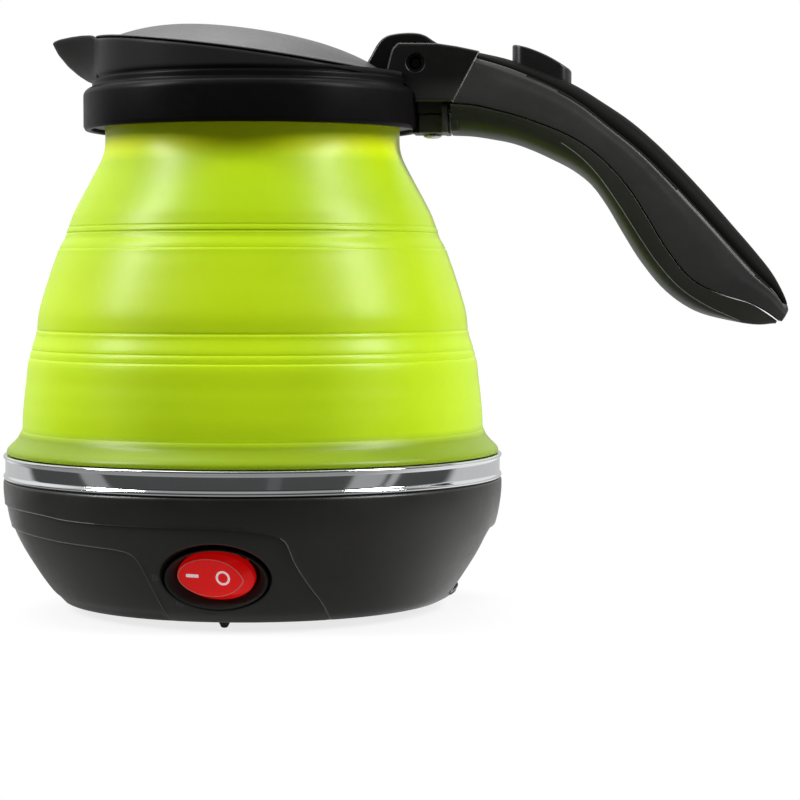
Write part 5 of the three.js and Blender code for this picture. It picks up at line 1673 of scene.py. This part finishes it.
def lower_inner(k):
    W, H = UW[k], LH[k]
    t = min(2.0, W * 0.35)
    fl = max(0.5, H - 2.1)
    return [(W - t, 0.17), (W - t - 0.1, 0.35 * fl), (W - t - 0.6, 0.6 * fl), ((W - t) * 0.75, 0.85 * fl), ((W - t) * 0.4, fl), (0.0, fl)]


def build_lower():
    rings = []
    first = c_section(lower_half(0), lower_inner(0))
    c = np.array([0.0, 0.5 * LH[0]])
    for k in range(NS):
        rings.append(low_section(k, c_section(lower_half(k), lower_inner(k))))
    k = NS - 1
    sec = c_section(lower_half(k), lower_inner(k))
    ax = np.array([LDIR[k][1], 0, -LDIR[k][0]])
    c = np.array([0.0, 0.5 * LH[k]])
    for a in (30, 60, 85):
        a = math.radians(a)
        s = 0.35 + 0.65 * math.cos(a)
        rings.append(low_section(k, c + (sec - c) * s) + ax * 0.5 * math.sin(a))
    v, f = loft(rings, cap=True)
    v[:, 0] = np.minimum(v[:, 0], 160.2)
    cuts = []
    for (px, pz), (ux, uz) in (((107.2, 126.8), (0.695, 0.719)), ((131.6, 103.0), (0.86, 0.51))):
        u = np.array([ux, 0, uz])
        w = np.array([0.0, 1, 0])
        q = np.cross(u, w)
        P = np.array([px, 0, pz])
        a = np.linspace(0, 2 * PI, 40, endpoint=False)
        rr = [P + u * d + r * (np.cos(a)[:, None] * w + np.sin(a)[:, None] * q) for r, d in ((3.1, -26.0), (3.1, -16.2), (2.7, -4.2 if px < 120 else -6.0))]
        cuts.append(loft(rr))
    return carve((v, f), *cuts)


front = plate(rounded([(-10.8, 139.6, 2.0), (10.8, 139.6, 2.0), (10.8, 147.4, 0.4), (-10.8, 147.4, 0.4)], n=5), 60.4, 62.5, 0.3, 0.3,
              lambda a, b, d: np.stack([d, a, b], 1))
low = make("handle_lower_half", *merge(build_lower(), front), MAT["lower"], "head", "handle", ["handle_lower_shell"], sharp=34, weld=3e-6)
# painted highlight: a light line along the lower shell's crease
ks = [k for k in range(NS) if LS[k, 0] > 94 and CR_D[k] < LH[k] - 0.6]
mid = lambda k, s: low_section(k, [(s * (UW[k] - 0.53), min(max(0.6, CR_D[k]), LH[k] - 0.5) + 0.1)])[0]
mark_faces(low, MAT["line"], [[mid(k, s) for k in ks] for s in (1, -1)], 0.11)


# crowned top insert, with its slot for the button
def build_insert():
    ks = [k for k in range(NS) if HALF[k] > 0.9]
    rings = []
    for k in ks:
        W, L, H, wi = UW[k], LEDGE_H[k], U_H[k], HALF[k]
        crown = H - L
        roof = max(L - 0.72, H - 1.5)             # the crown is hollow underneath, clear of the latch
        half = [(0.0, roof), (0.55 * wi, roof), (max(0.6 * wi, wi - 1.9), roof - 0.02), (max(0.7 * wi, wi - 1.3), L - 0.75),
                (wi - 0.35, L - 0.75), (wi - 0.12, L - 0.68), (wi, L - 0.5), (wi, L - 0.05)]
        for a in np.linspace(0, PI / 2, 19):
            y = wi * math.cos(a) ** 0.62 if a < PI / 2 - 1e-6 else 0.0
            h = L + 0.12 + (crown - 0.12) * math.sin(a) ** 0.98
            half.append((y, h))
        o = np.array(half)
        mir = o * np.array([-1, 1])
        sec = np.vstack([o, mir[::-1][1:-1]])
        rings.append(section(k, sec))
    # front end: short rounding
    first = rings[0]
    c = first.mean(0)
    back = rings[0] - (rings[1] - rings[0]) * 0
    ax = US[1] - US[0]
    ax3 = np.array([-(UT[1] - UT[0])[0], 0, -(UT[1] - UT[0])[1]])
    ax3 /= np.linalg.norm(ax3)
    pre = []
    for a in (80, 55, 30):
        a = math.radians(a)
        s = 0.93 + 0.07 * math.cos(a)
        pre.append(c + (first - c) * s + ax3 * 0.8 * math.sin(a))
    # run on towards the knuckle
    run = first + ax3 * 3.4
    pre = [c + (run - ax3 * 3.4 - c) * (0.93 + 0.07 * math.cos(math.radians(a))) + ax3 * (3.4 + 0.8 * math.sin(math.radians(a)))
           for a in (85, 60, 30)] + [run]
    last = rings[-1]
    c = last.mean(0)
    d = UT[ks[-1]] - UT[ks[-1] - 1]
    d3 = np.array([d[0], 0, d[1]]) / np.linalg.norm(d)
    post = []
    for a in (25, 50, 75, 88):
        a = math.radians(a)
        post.append(c + (last - c) * (0.3 + 0.7 * math.cos(a)) + d3 * 1.0 * math.sin(a))
    part = loft(pre + rings + post, cap=True)
    st = stadium(77.55, 96.05, 5.9)
    cut = loft([np.column_stack([st, np.full(len(st), z)]) for z in (144.0, 172.0)])
    return carve(part, cut)


make("handle_crown_insert", *build_insert(), MAT["insert"], "head", "handle", ["handle_top_insert"], sharp=38, weld=3e-6)


def build_button():
    out = stadium(78.0, 95.6, 5.5)
    topc = catmull([(77.8, 165.72), (79.3, 165.65), (81.8, 165.1), (84.6, 164.15), (87.1, 163.1), (89.6, 161.85), (91.9, 160.5),
                    (93.7, 159.3), (95.1, 158.3), (96.0, 157.6)], 6)
    z_top = lambda q: np.interp(q[:, 0], topc[:, 0], topc[:, 1]) - 0.45 * (q[:, 1] / 5.5) ** 2
    rings = [np.column_stack([inset(out, 0.3), np.full(len(out), 151.0)]), np.column_stack([out, np.full(len(out), 151.3)])]
    R = 0.55
    for a in (0, 25, 50, 70, 90):
        a = math.radians(a)
        q = inset(out, R * (1 - math.cos(a)))
        rings.append(np.column_stack([q, z_top(q) - R * (1 - math.sin(a))]))
    c = np.array([86.65, 0.0])
    base = inset(out, R)
    for s in (0.85, 0.68, 0.5, 0.33, 0.17, 0.05):
        q = c + (base - c) * s
        rings.append(np.column_stack([q, z_top(q)]))
    return loft(rings, cap=True)


make("lid_release_key", *build_button(), MAT["key"], "button", "handle", ["lid_release_button"], sharp=40)

# screws, pins and springs of the handle
for k, ((px, pz), (ux, uz)) in enumerate((((107.2, 126.8), (0.695, 0.719)), ((131.6, 103.0), (0.86, 0.51)))):
    P = np.array([px, 0, pz]) + np.array([ux, 0, uz]) * (-4.5 if px < 120 else -6.3)
    make("handle_screw_head_%d" % (k + 1), *screw(P, (-ux, 0, -uz), 2.3, 1.1, 1.1, 11.0), MAT["screw"], "head", "steel",
         ["handle_screw_%d" % (k + 1)], sharp=30)
make("bracket_screw_head", *screw((54.2, 0, 139.1), (0, 0, -1), 2.7, 0.9, 1.2, 9.2), MAT["screw"], "head", "steel", ["bracket_screw"], sharp=30)
pin = rounded([(0, -10.3), (1.3, -10.3, 0.2), (1.6, -10.0, 0.2), (1.6, 10.0, 0.2), (1.3, 10.3, 0.2), (0, 10.3)], closed=False)
v, f = lathe(pin, 40)
v = np.stack([v[:, 0] + PIN_X, v[:, 2], v[:, 1] + PIN_Z], 1)
make("lid_hinge_axle", v, f, MAT["dark_steel"], "head", "steel", ["lid_hinge_pin"], sharp=35)
pin = rounded([(0, -8.6), (1.0, -8.6, 0.2), (1.2, -8.3, 0.2), (1.2, 8.3, 0.2), (1.0, 8.6, 0.2), (0, 8.6)], closed=False)
v, f = lathe(pin, 32)
v = np.stack([v[:, 0] + LATCH[0], v[:, 2], v[:, 1] + LATCH[1]], 1)
make("latch_axle", v, f, MAT["satin_steel"], "head", "steel", ["latch_pin"], sharp=35)


def coil(c, axis, r, length, turns, wire, per=20):
    n = int(turns * per)
    t = np.linspace(0, turns * 2 * PI, n + 1)
    s = np.linspace(0, length, n + 1)
    if axis == "y":
        P = np.stack([c[0] + r * np.cos(t), c[1] + s, c[2] + r * np.sin(t)], 1)
    else:
        P = np.stack([c[0] + r * np.cos(t), c[1] + r * np.sin(t), c[2] + s], 1)
    return tube(P, wire, 10)


make("lid_spring_coil", *coil((PIN_X, -7.0, PIN_Z), "y", 2.9, 4.4, 4, 0.42), MAT["satin_steel"], "head", "steel", ["lid_spring"])
make("latch_spring_coil", *coil((85.4, 0, 137.4), "z", 2.6, 7.2, 4, 0.38), MAT["satin_steel"], "head", "steel", ["latch_spring"])

# ================================================================== switch
BZ = oval(14.5, 9.2, 120)


def ring_sw(o, n):
    return sw(o[:, 0], o[:, 1], np.full(len(o), float(n)))


def build_bezel():
    N = 120
    rings = [(oval(12.5, 8.0, N), -13.4), (oval(12.5, 8.0, N), -4.8), (oval(14.4, 9.12, N), -1.55), (oval(14.5, 9.2, N), -1.35),
             (oval(14.5, 9.2, N), -0.4), (oval(14.46, 9.17, N), -0.2), (oval(14.36, 9.08, N), -0.06), (oval(14.2, 8.93, N), 0.0),
             (oval(14.02, 8.77, N), -0.04), (oval(13.86, 8.64, N), -0.16)]
    for t in (0.2, 0.4, 0.6, 0.8, 1.0):           # dished face
        rings.append((oval(13.86 - 1.74 * t, 8.64 - 1.0 * t, N), -0.16 - 2.9 * t - 0.22 * math.sin(PI * t)))
    rings += [(oval(11.96, 7.5, N), -3.26), (oval(11.85, 7.42, N), -3.5), (oval(11.8, 7.4, N), -3.9), (oval(11.7, 7.3, N), -11.8)]
    return loft([ring_sw(o, n) for o, n in rings], cap=True)


make("switch_bezel_and_body", *build_bezel(), MAT["bezel"], "base", "bezel", ["switch_housing"], sharp=32)


def rocked(part, ang=-ROCK):
    """Turns a part about the switch's upright line, 4.6 mm behind the bezel's front."""
    v, f = part
    v = np.asarray(v, float)
    h = SW_C + SW_N * -4.6
    c, s = math.cos(ang), math.sin(ang)
    k = SW_T
    p = v - h
    out = p * c + np.cross(k, p) * s + np.outer(p @ k, k) * (1 - c)
    return out + h, f


FACE_N = -0.45


def lens(n=120):
    """The rocker's flat face: an oval that runs out to a point at its raised end."""
    a = np.linspace(0, 2 * PI, n, endpoint=False)
    c, s = np.cos(a), np.sin(a)
    power = 1.02 + 0.36 * np.clip(0.5 + 0.5 * c, 0, 1) ** 1.5
    return np.stack([-1.05 + 9.65 * c, 0.2 + 5.75 * np.sign(s) * np.abs(s) ** power], 1)


def face_n(s):
    """The face is very slightly hollow along its length."""
    return FACE_N + 0.2 * (s / 9.6) ** 2 - 0.15


def build_rocker():
    N = 120
    rings = [(oval(8.0, 5.2, N), -7.6), (oval(10.3, 6.2, N), -6.0), (oval(11.1, 6.9, N), -4.2), (oval(11.15, 6.95, N), -3.2),
             (oval(11.15, 6.95, N), -2.3), (oval(11.05, 6.86, N), -2.05), (oval(10.85, 6.7, N), -1.92)]
    R3 = [ring_sw(o, n) for o, n in rings]
    f1 = lens(N)
    for t in (0.3, 0.65, 0.9):
        o = oval(10.85, 6.7, N) * (1 - t) + f1 * t
        R3.append(sw(o[:, 0], o[:, 1], -1.92 + (face_n(o[:, 0]) - 0.1 + 1.92) * t))
    c = np.array([-1.05, 0.2])
    q = c + (f1 - c) * 0.988
    R3.append(sw(q[:, 0], q[:, 1], face_n(q[:, 0]) - 0.03))
    for t in (0.96, 0.8, 0.6, 0.4, 0.2, 0.04):
        q = c + (f1 - c) * t
        R3.append(sw(q[:, 0], q[:, 1], face_n(q[:, 0])))
    return loft(R3, cap=True)


paddle = make("rocker_paddle", *rocked(build_rocker()), MAT["rocker"], "rocker", "rocker", ["switch_rocker"], sharp=24)
# painted highlight along the edge of the rocker's face
rim_c = np.array([-1.05, 0.2])
rim_p = rim_c + (lens(240) - rim_c) * 0.974
rim_p = np.vstack([rim_p, rim_p[:1]])
mark_faces(paddle, MAT["rocker_rim"], [rocked((sw(rim_p[:, 0], rim_p[:, 1], face_n(rim_p[:, 0])), []))[0]], 0.10)


def mark_dash(s0, s1, t0, h):
    o = rounded([(s0, t0 - h / 2, 0.18), (s1, t0 - h / 2, 0.18), (s1, t0 + h / 2, 0.18), (s0, t0 + h / 2, 0.18)], n=3)
    o = np.vstack([np.linspace(a, b, 6, endpoint=False) for a, b in zip(o, np.roll(o, -1, 0))])
    return loft([sw(o[:, 0], o[:, 1], face_n(o[:, 0]) + d) for d in (-0.2, 0.05)])


def mark_ring(s, t, rs, rt, w):
    N = 64
    rr = [(oval(rs, rt, N, s, t), -0.2), (oval(rs, rt, N, s, t), 0.05), (oval(rs - w, rt - w, N, s, t), 0.05), (oval(rs - w, rt - w, N, s, t), -0.2)]
    v, f = loft([sw(o[:, 0], o[:, 1], face_n(o[:, 0]) + d) for o, d in rr], cap=False)
    f = f + [[3 * N + i, 3 * N + (i + 1) % N, (i + 1) % N, i] for i in range(N)]
    return v, f


make("rocker_mark_dash", *rocked(mark_dash(-8.1, -4.5, 0.55, 0.95)), MAT["paint"], "rocker", "rocker")
make("rocker_mark_ring", *rocked(mark_ring(2.5, 0.45, 2.05, 2.15, 0.62)), MAT["paint"], "rocker", "rocker")

# ================================================================== power inlet
def build_inlet():
    yz = lambda a, b, d: np.stack([d, a, b], 1)
    o = rounded([(-13.5, 4.2, 2.3), (13.5, 4.2, 2.3), (13.5, 22.0, 3.1), (-13.5, 22.0, 3.1)], n=8)
    c = rounded([(-12.1, 5.5, 0.7), (12.1, 5.5, 0.7), (12.1, 17.4, 0.7), (8.9, 20.7, 0.7), (-8.9, 20.7, 0.7), (-12.1, 17.4, 0.7)], n=5)
    body = plate_holes(o, [c], 45.0, 60.2, 0.05, 0.4, yz, chamfer=0.35)
    back = plate(o, 42.4, 45.1, 0.4, 0.05, yz)
    return merge(body, back)


make("power_inlet_socket", *build_inlet(), MAT["inner"], "base", "casing", ["power_inlet"], sharp=32)
for n, y, z in (("live", -7, 11.0), ("neutral", 7, 11.0), ("earth", 0, 15.4)):
    rr = []
    for x, a, b in ((37, 0.98, 1.98), (55.9, 0.98, 1.98), (56.6, 0.9, 1.85), (57.1, 0.65, 1.6), (57.35, 0.4, 1.35)):
        o = rounded([(y - a, z - b, 0.35), (y + a, z - b, 0.35), (y + a, z + b, 0.35), (y - a, z + b, 0.35)], n=4)
        rr.append(np.column_stack([np.full(len(o), float(x)), o]))
    make("inlet_blade_" + n, *loft(rr), MAT["nickel"], "base", "brass", ["inlet_pin_" + n], sharp=35)

# ================================================================== leads
LEADS = {
    "lead_live": [[36.2, -7, 11], [34.6, -7.6, 9.6], [35, -18, 5.4], [22, -36, 5.2], [2, -42.5, 5.4], [-7.4, -43.2, 13.0], [-7.4, -44.9, 19.4]],
    "lead_switched": [[0, -44.9, 19.4], [-0.6, -40.5, 14], [-13, -29, 9], [-20.0, -16, 11], [-21, -12.4, 17.5], [-21, -9.0, 19]],
    "lead_fuse": [[-21, 9.0, 19], [-20.5, 13.5, 16], [-14, 15.4, 12], [-9.4, 10.9, 12.6], [-6.6, 7.6, 13]],
    "lead_element": [[6.4, -7.4, 13], [10, -11.5, 10.5], [20, -15.6, 7], [27.8, -15, 5.2], [30.8, -13.1, 6.2], [30.8, -13.1, 9.2]],
    "lead_neutral": [[36.4, 7, 11], [34.0, 7.8, 9.4], [32, 11.0, 5.6], [30.9, 13.1, 6.2], [30.8, 13.1, 9.2]],
    "lead_earth": [[36.6, 0, 15.4], [32, 0, 14.2], [26, 0, 16.4], [24, 0, 19], [24, 0, 21.6]],
}
for n, p in LEADS.items():
    make(n + "_sleeve", *tube(catmull(p, 10), 1.08, 14), MAT[n], "base", "lead", [n])

# ================================================================== looks of the nodes that are shown as they are
KEEP = {"pan_gasket": "seal", "silicone_clamp_ring": "satin_steel", "neck_clamp_ring": "inner", "heat_spreader": "alu",
        "heating_element": "satin_steel", "thermostat": "ceramic", "thermal_fuse": "ceramic", "switch_terminal_1": "brass",
        "switch_terminal_2": "brass", "switch_terminal_3": "brass", "switch_lamp": "glass", "latch_lever": "satin_steel"}
for n, m in KEEP.items():
    o = NODES[n]
    o.data.materials.clear()
    o.data.materials.append(MAT[m])

# ================================================================== stage: floor, lamps, sky, camera
def stage_piece(name, verts, faces, mat):
    me = bpy.data.meshes.new(name)
    me.from_pydata([tuple(a) for a in verts], [], faces)
    me.materials.append(mat)
    o = bpy.data.objects.new(name, me)
    bpy.context.scene.collection.objects.link(o)
    return o


def bearings(nt, direction):
    """Share ahead, and degrees round from the camera's side, + to the right."""
    def along(v):
        dot = nt.nodes.new("ShaderNodeVectorMath")
        dot.operation = "DOT_PRODUCT"
        dot.inputs[1].default_value = v
        nt.links.new(direction, dot.inputs[0])
        return dot.outputs["Value"]
    ahead, right = along((-0.14436, 0.98953, 0.0)), along((0.98953, 0.14436, 0.0))
    return ahead, math_node(nt, "MULTIPLY", math_node(nt, "ARCTAN2", right, math_node(nt, "MULTIPLY", ahead, -1.0)), 180 / PI)


def sky_value(nt, direction):
    """Studio brightness by direction: dark behind the camera, white behind the kettle, soft overhead,
    and a few narrow panels near the horizon at the sides."""
    sep = nt.nodes.new("ShaderNodeSeparateXYZ")
    nt.links.new(direction, sep.inputs[0])
    ahead, az = bearings(nt, direction)
    sky = math_node(nt, "MAXIMUM", rise(nt, ahead, -0.35, 0.45, 0.02, 0.9), rise(nt, sep.outputs["Z"], 0.35, 1.0, 0.0, 0.45, False))
    low = math_node(nt, "MAXIMUM", rise(nt, az, 92, 100, 0.07, 0.6), rise(nt, az, -119, -112, 0.6, 0.07))
    for a0, a1, edge, level in ((41, 57, 3, 0.36), (59, 63.5, 2, 0.40), (-78.5, -65.7, 3, 0.30), (5, 11.6, 2, 0.11)):
        up = rise(nt, az, a0 - edge / 2, a0 + edge / 2, 0.0, level)
        down = rise(nt, az, a1 - edge / 2, a1 + edge / 2, 1.0, 0.0)
        low = math_node(nt, "MAXIMUM", low, math_node(nt, "MULTIPLY", up, down))
    flat = rise(nt, math_node(nt, "ABSOLUTE", sep.outputs["Z"]), 0.10, 0.22, 1.0, 0.0)
    mix = nt.nodes.new("ShaderNodeMix")
    mix.data_type = "FLOAT"
    nt.links.new(flat, mix.inputs[0])
    nt.links.new(sky, mix.inputs[2])
    nt.links.new(low, mix.inputs[3])
    return mix.outputs[0]


def seen_white(nt, value):
    """The stage is plain white where the picture shows it, and keeps its own value as a light."""
    lp = nt.nodes.new("ShaderNodeLightPath")
    mx = nt.nodes.new("ShaderNodeMath")
    mx.operation = "MAXIMUM"
    nt.links.new(value, mx.inputs[0])
    nt.links.new(lp.outputs["Is Camera Ray"], mx.inputs[1])
    return mx.outputs[0]


# white floor: a matt sheet near the kettle that fades into the backdrop further out
m = bpy.data.materials.new("floor_white")
m.use_nodes = True
nt = m.node_tree
for n in list(nt.nodes):
    nt.nodes.remove(n)
out = nt.nodes.new("ShaderNodeOutputMaterial")
b = nt.nodes.new("ShaderNodeBsdfPrincipled")
put(b, Base_Color=(0.90, 0.90, 0.90, 1), Roughness=0.6, Specular_IOR_Level=0.2)
em = nt.nodes.new("ShaderNodeEmission")
mixs = nt.nodes.new("ShaderNodeMixShader")
tc = nt.nodes.new("ShaderNodeTexCoord")
ln = nt.nodes.new("ShaderNodeVectorMath")
ln.operation = "LENGTH"
nt.links.new(tc.outputs["Object"], ln.inputs[0])
far = nt.nodes.new("ShaderNodeMapRange")
for k, val in (("From Min", 0.046), ("From Max", 0.11), ("To Min", 0.78), ("To Max", 1.0)):
    far.inputs[k].default_value = val
far.interpolation_type = "SMOOTHSTEP"
nt.links.new(ln.outputs["Value"], far.inputs["Value"])
nrm = nt.nodes.new("ShaderNodeVectorMath")
nrm.operation = "NORMALIZE"
nt.links.new(tc.outputs["Object"], nrm.inputs[0])
lobe = bearings(nt, nrm.outputs[0])[1]
beside = math_node(nt, "MAXIMUM", rise(nt, lobe, 30, 85, 0.33, 0.95), rise(nt, lobe, -150, -105, 0.95, 0.33))
close = nt.nodes.new("ShaderNodeMix")
close.data_type = "FLOAT"
nt.links.new(rise(nt, ln.outputs["Value"], 0.16, 0.36, 1.0, 0.0), close.inputs[0])
nt.links.new(sky_value(nt, nrm.outputs[0]), close.inputs[2])
nt.links.new(beside, close.inputs[3])
nt.links.new(seen_white(nt, close.outputs[0]), em.inputs["Strength"])
lpf = nt.nodes.new("ShaderNodeLightPath")
mf = nt.nodes.new("ShaderNodeMath")
mf.operation = "MAXIMUM"
nt.links.new(far.outputs[0], mf.inputs[0])
nt.links.new(lpf.outputs["Is Glossy Ray"], mf.inputs[1])
nt.links.new(mf.outputs[0], mixs.inputs[0])
nt.links.new(b.outputs[0], mixs.inputs[1])
nt.links.new(em.outputs[0], mixs.inputs[2])
nt.links.new(mixs.outputs[0], out.inputs[0])
seg = 64
R = 20.0
verts = [(0, 0, -FOOT_H * MM)] + [(R * math.cos(2 * PI * i / seg), R * math.sin(2 * PI * i / seg), -FOOT_H * MM) for i in range(seg)]
floor = stage_piece("floor", verts, [(0, i + 1, (i + 1) % seg + 1) for i in range(seg)], m)

AZ = math.radians(8.3)
CAM_D = 721.0
fwd = np.array([-math.sin(AZ), math.cos(AZ), 0.0])
rgt = np.array([math.cos(AZ), math.sin(AZ), 0.0])
eye = np.array([104.1, -713.5, 97.0])
F = fwd + rgt * (146.3 / 2380) - np.array([0, 0, 1.0]) * (124 / 2380)
F /= np.linalg.norm(F)
Rr = np.cross(F, [0, 0, 1.0])
Rr /= np.linalg.norm(Rr)
Up = np.cross(Rr, F)
cam = bpy.data.cameras.new("camera")
cam.sensor_width = 36.0
cam.lens = 2380 / 800 * 36.0
cam.clip_start, cam.clip_end = 0.05, 50
co = bpy.data.objects.new("camera", cam)
M4 = Matrix(((Rr[0], Up[0], -F[0], eye[0] * MM), (Rr[1], Up[1], -F[1], eye[1] * MM), (Rr[2], Up[2], -F[2], eye[2] * MM), (0, 0, 0, 1)))
co.matrix_world = M4
bpy.context.scene.collection.objects.link(co)
bpy.context.scene.camera = co


def soft_box(name, az, el, dist, w, h, power, target=(0, 0, 0.08), colour=(1, 1, 1)):
    """Area lamp; az is measured from the camera's side of the kettle, + to the right."""
    a, e = math.radians(az), math.radians(el)
    back = -fwd * math.cos(a) + rgt * math.sin(a)
    p = Vector(target) + Vector((back[0] * math.cos(e), back[1] * math.cos(e), math.sin(e))) * dist
    d = bpy.data.lights.new(name, "AREA")
    d.shape = "RECTANGLE"
    d.size, d.size_y = w, h
    d.energy = power
    d.color = colour
    o = bpy.data.objects.new(name, d)
    o.location = p
    o.rotation_mode = "QUATERNION"
    o.rotation_quaternion = (Vector(target) - p).to_track_quat("-Z", "Y")
    bpy.context.scene.collection.objects.link(o)
    return o


soft_box("box_left", -78, 36, 1.5, 0.24, 0.9, 22)
soft_box("box_right", 66, 36, 1.5, 0.34, 0.9, 24)
soft_box("box_top", -158, 66, 1.4, 1.2, 0.9, 14)

w = bpy.data.worlds.new("studio")
bpy.context.scene.world = w
w.use_nodes = True
nt = w.node_tree
for n in list(nt.nodes):
    nt.nodes.remove(n)
out = nt.nodes.new("ShaderNodeOutputWorld")
bg = nt.nodes.new("ShaderNodeBackground")
tc = nt.nodes.new("ShaderNodeTexCoord")
nt.links.new(seen_white(nt, sky_value(nt, tc.outputs["Generated"])), bg.inputs["Strength"])
bg.inputs["Color"].default_value = (1, 1, 1, 1)
nt.links.new(bg.outputs[0], out.inputs[0])

sc = bpy.context.scene
sc.view_settings.view_transform = "Standard"
sc.view_settings.look = "None"
sc.view_settings.exposure = 0.0
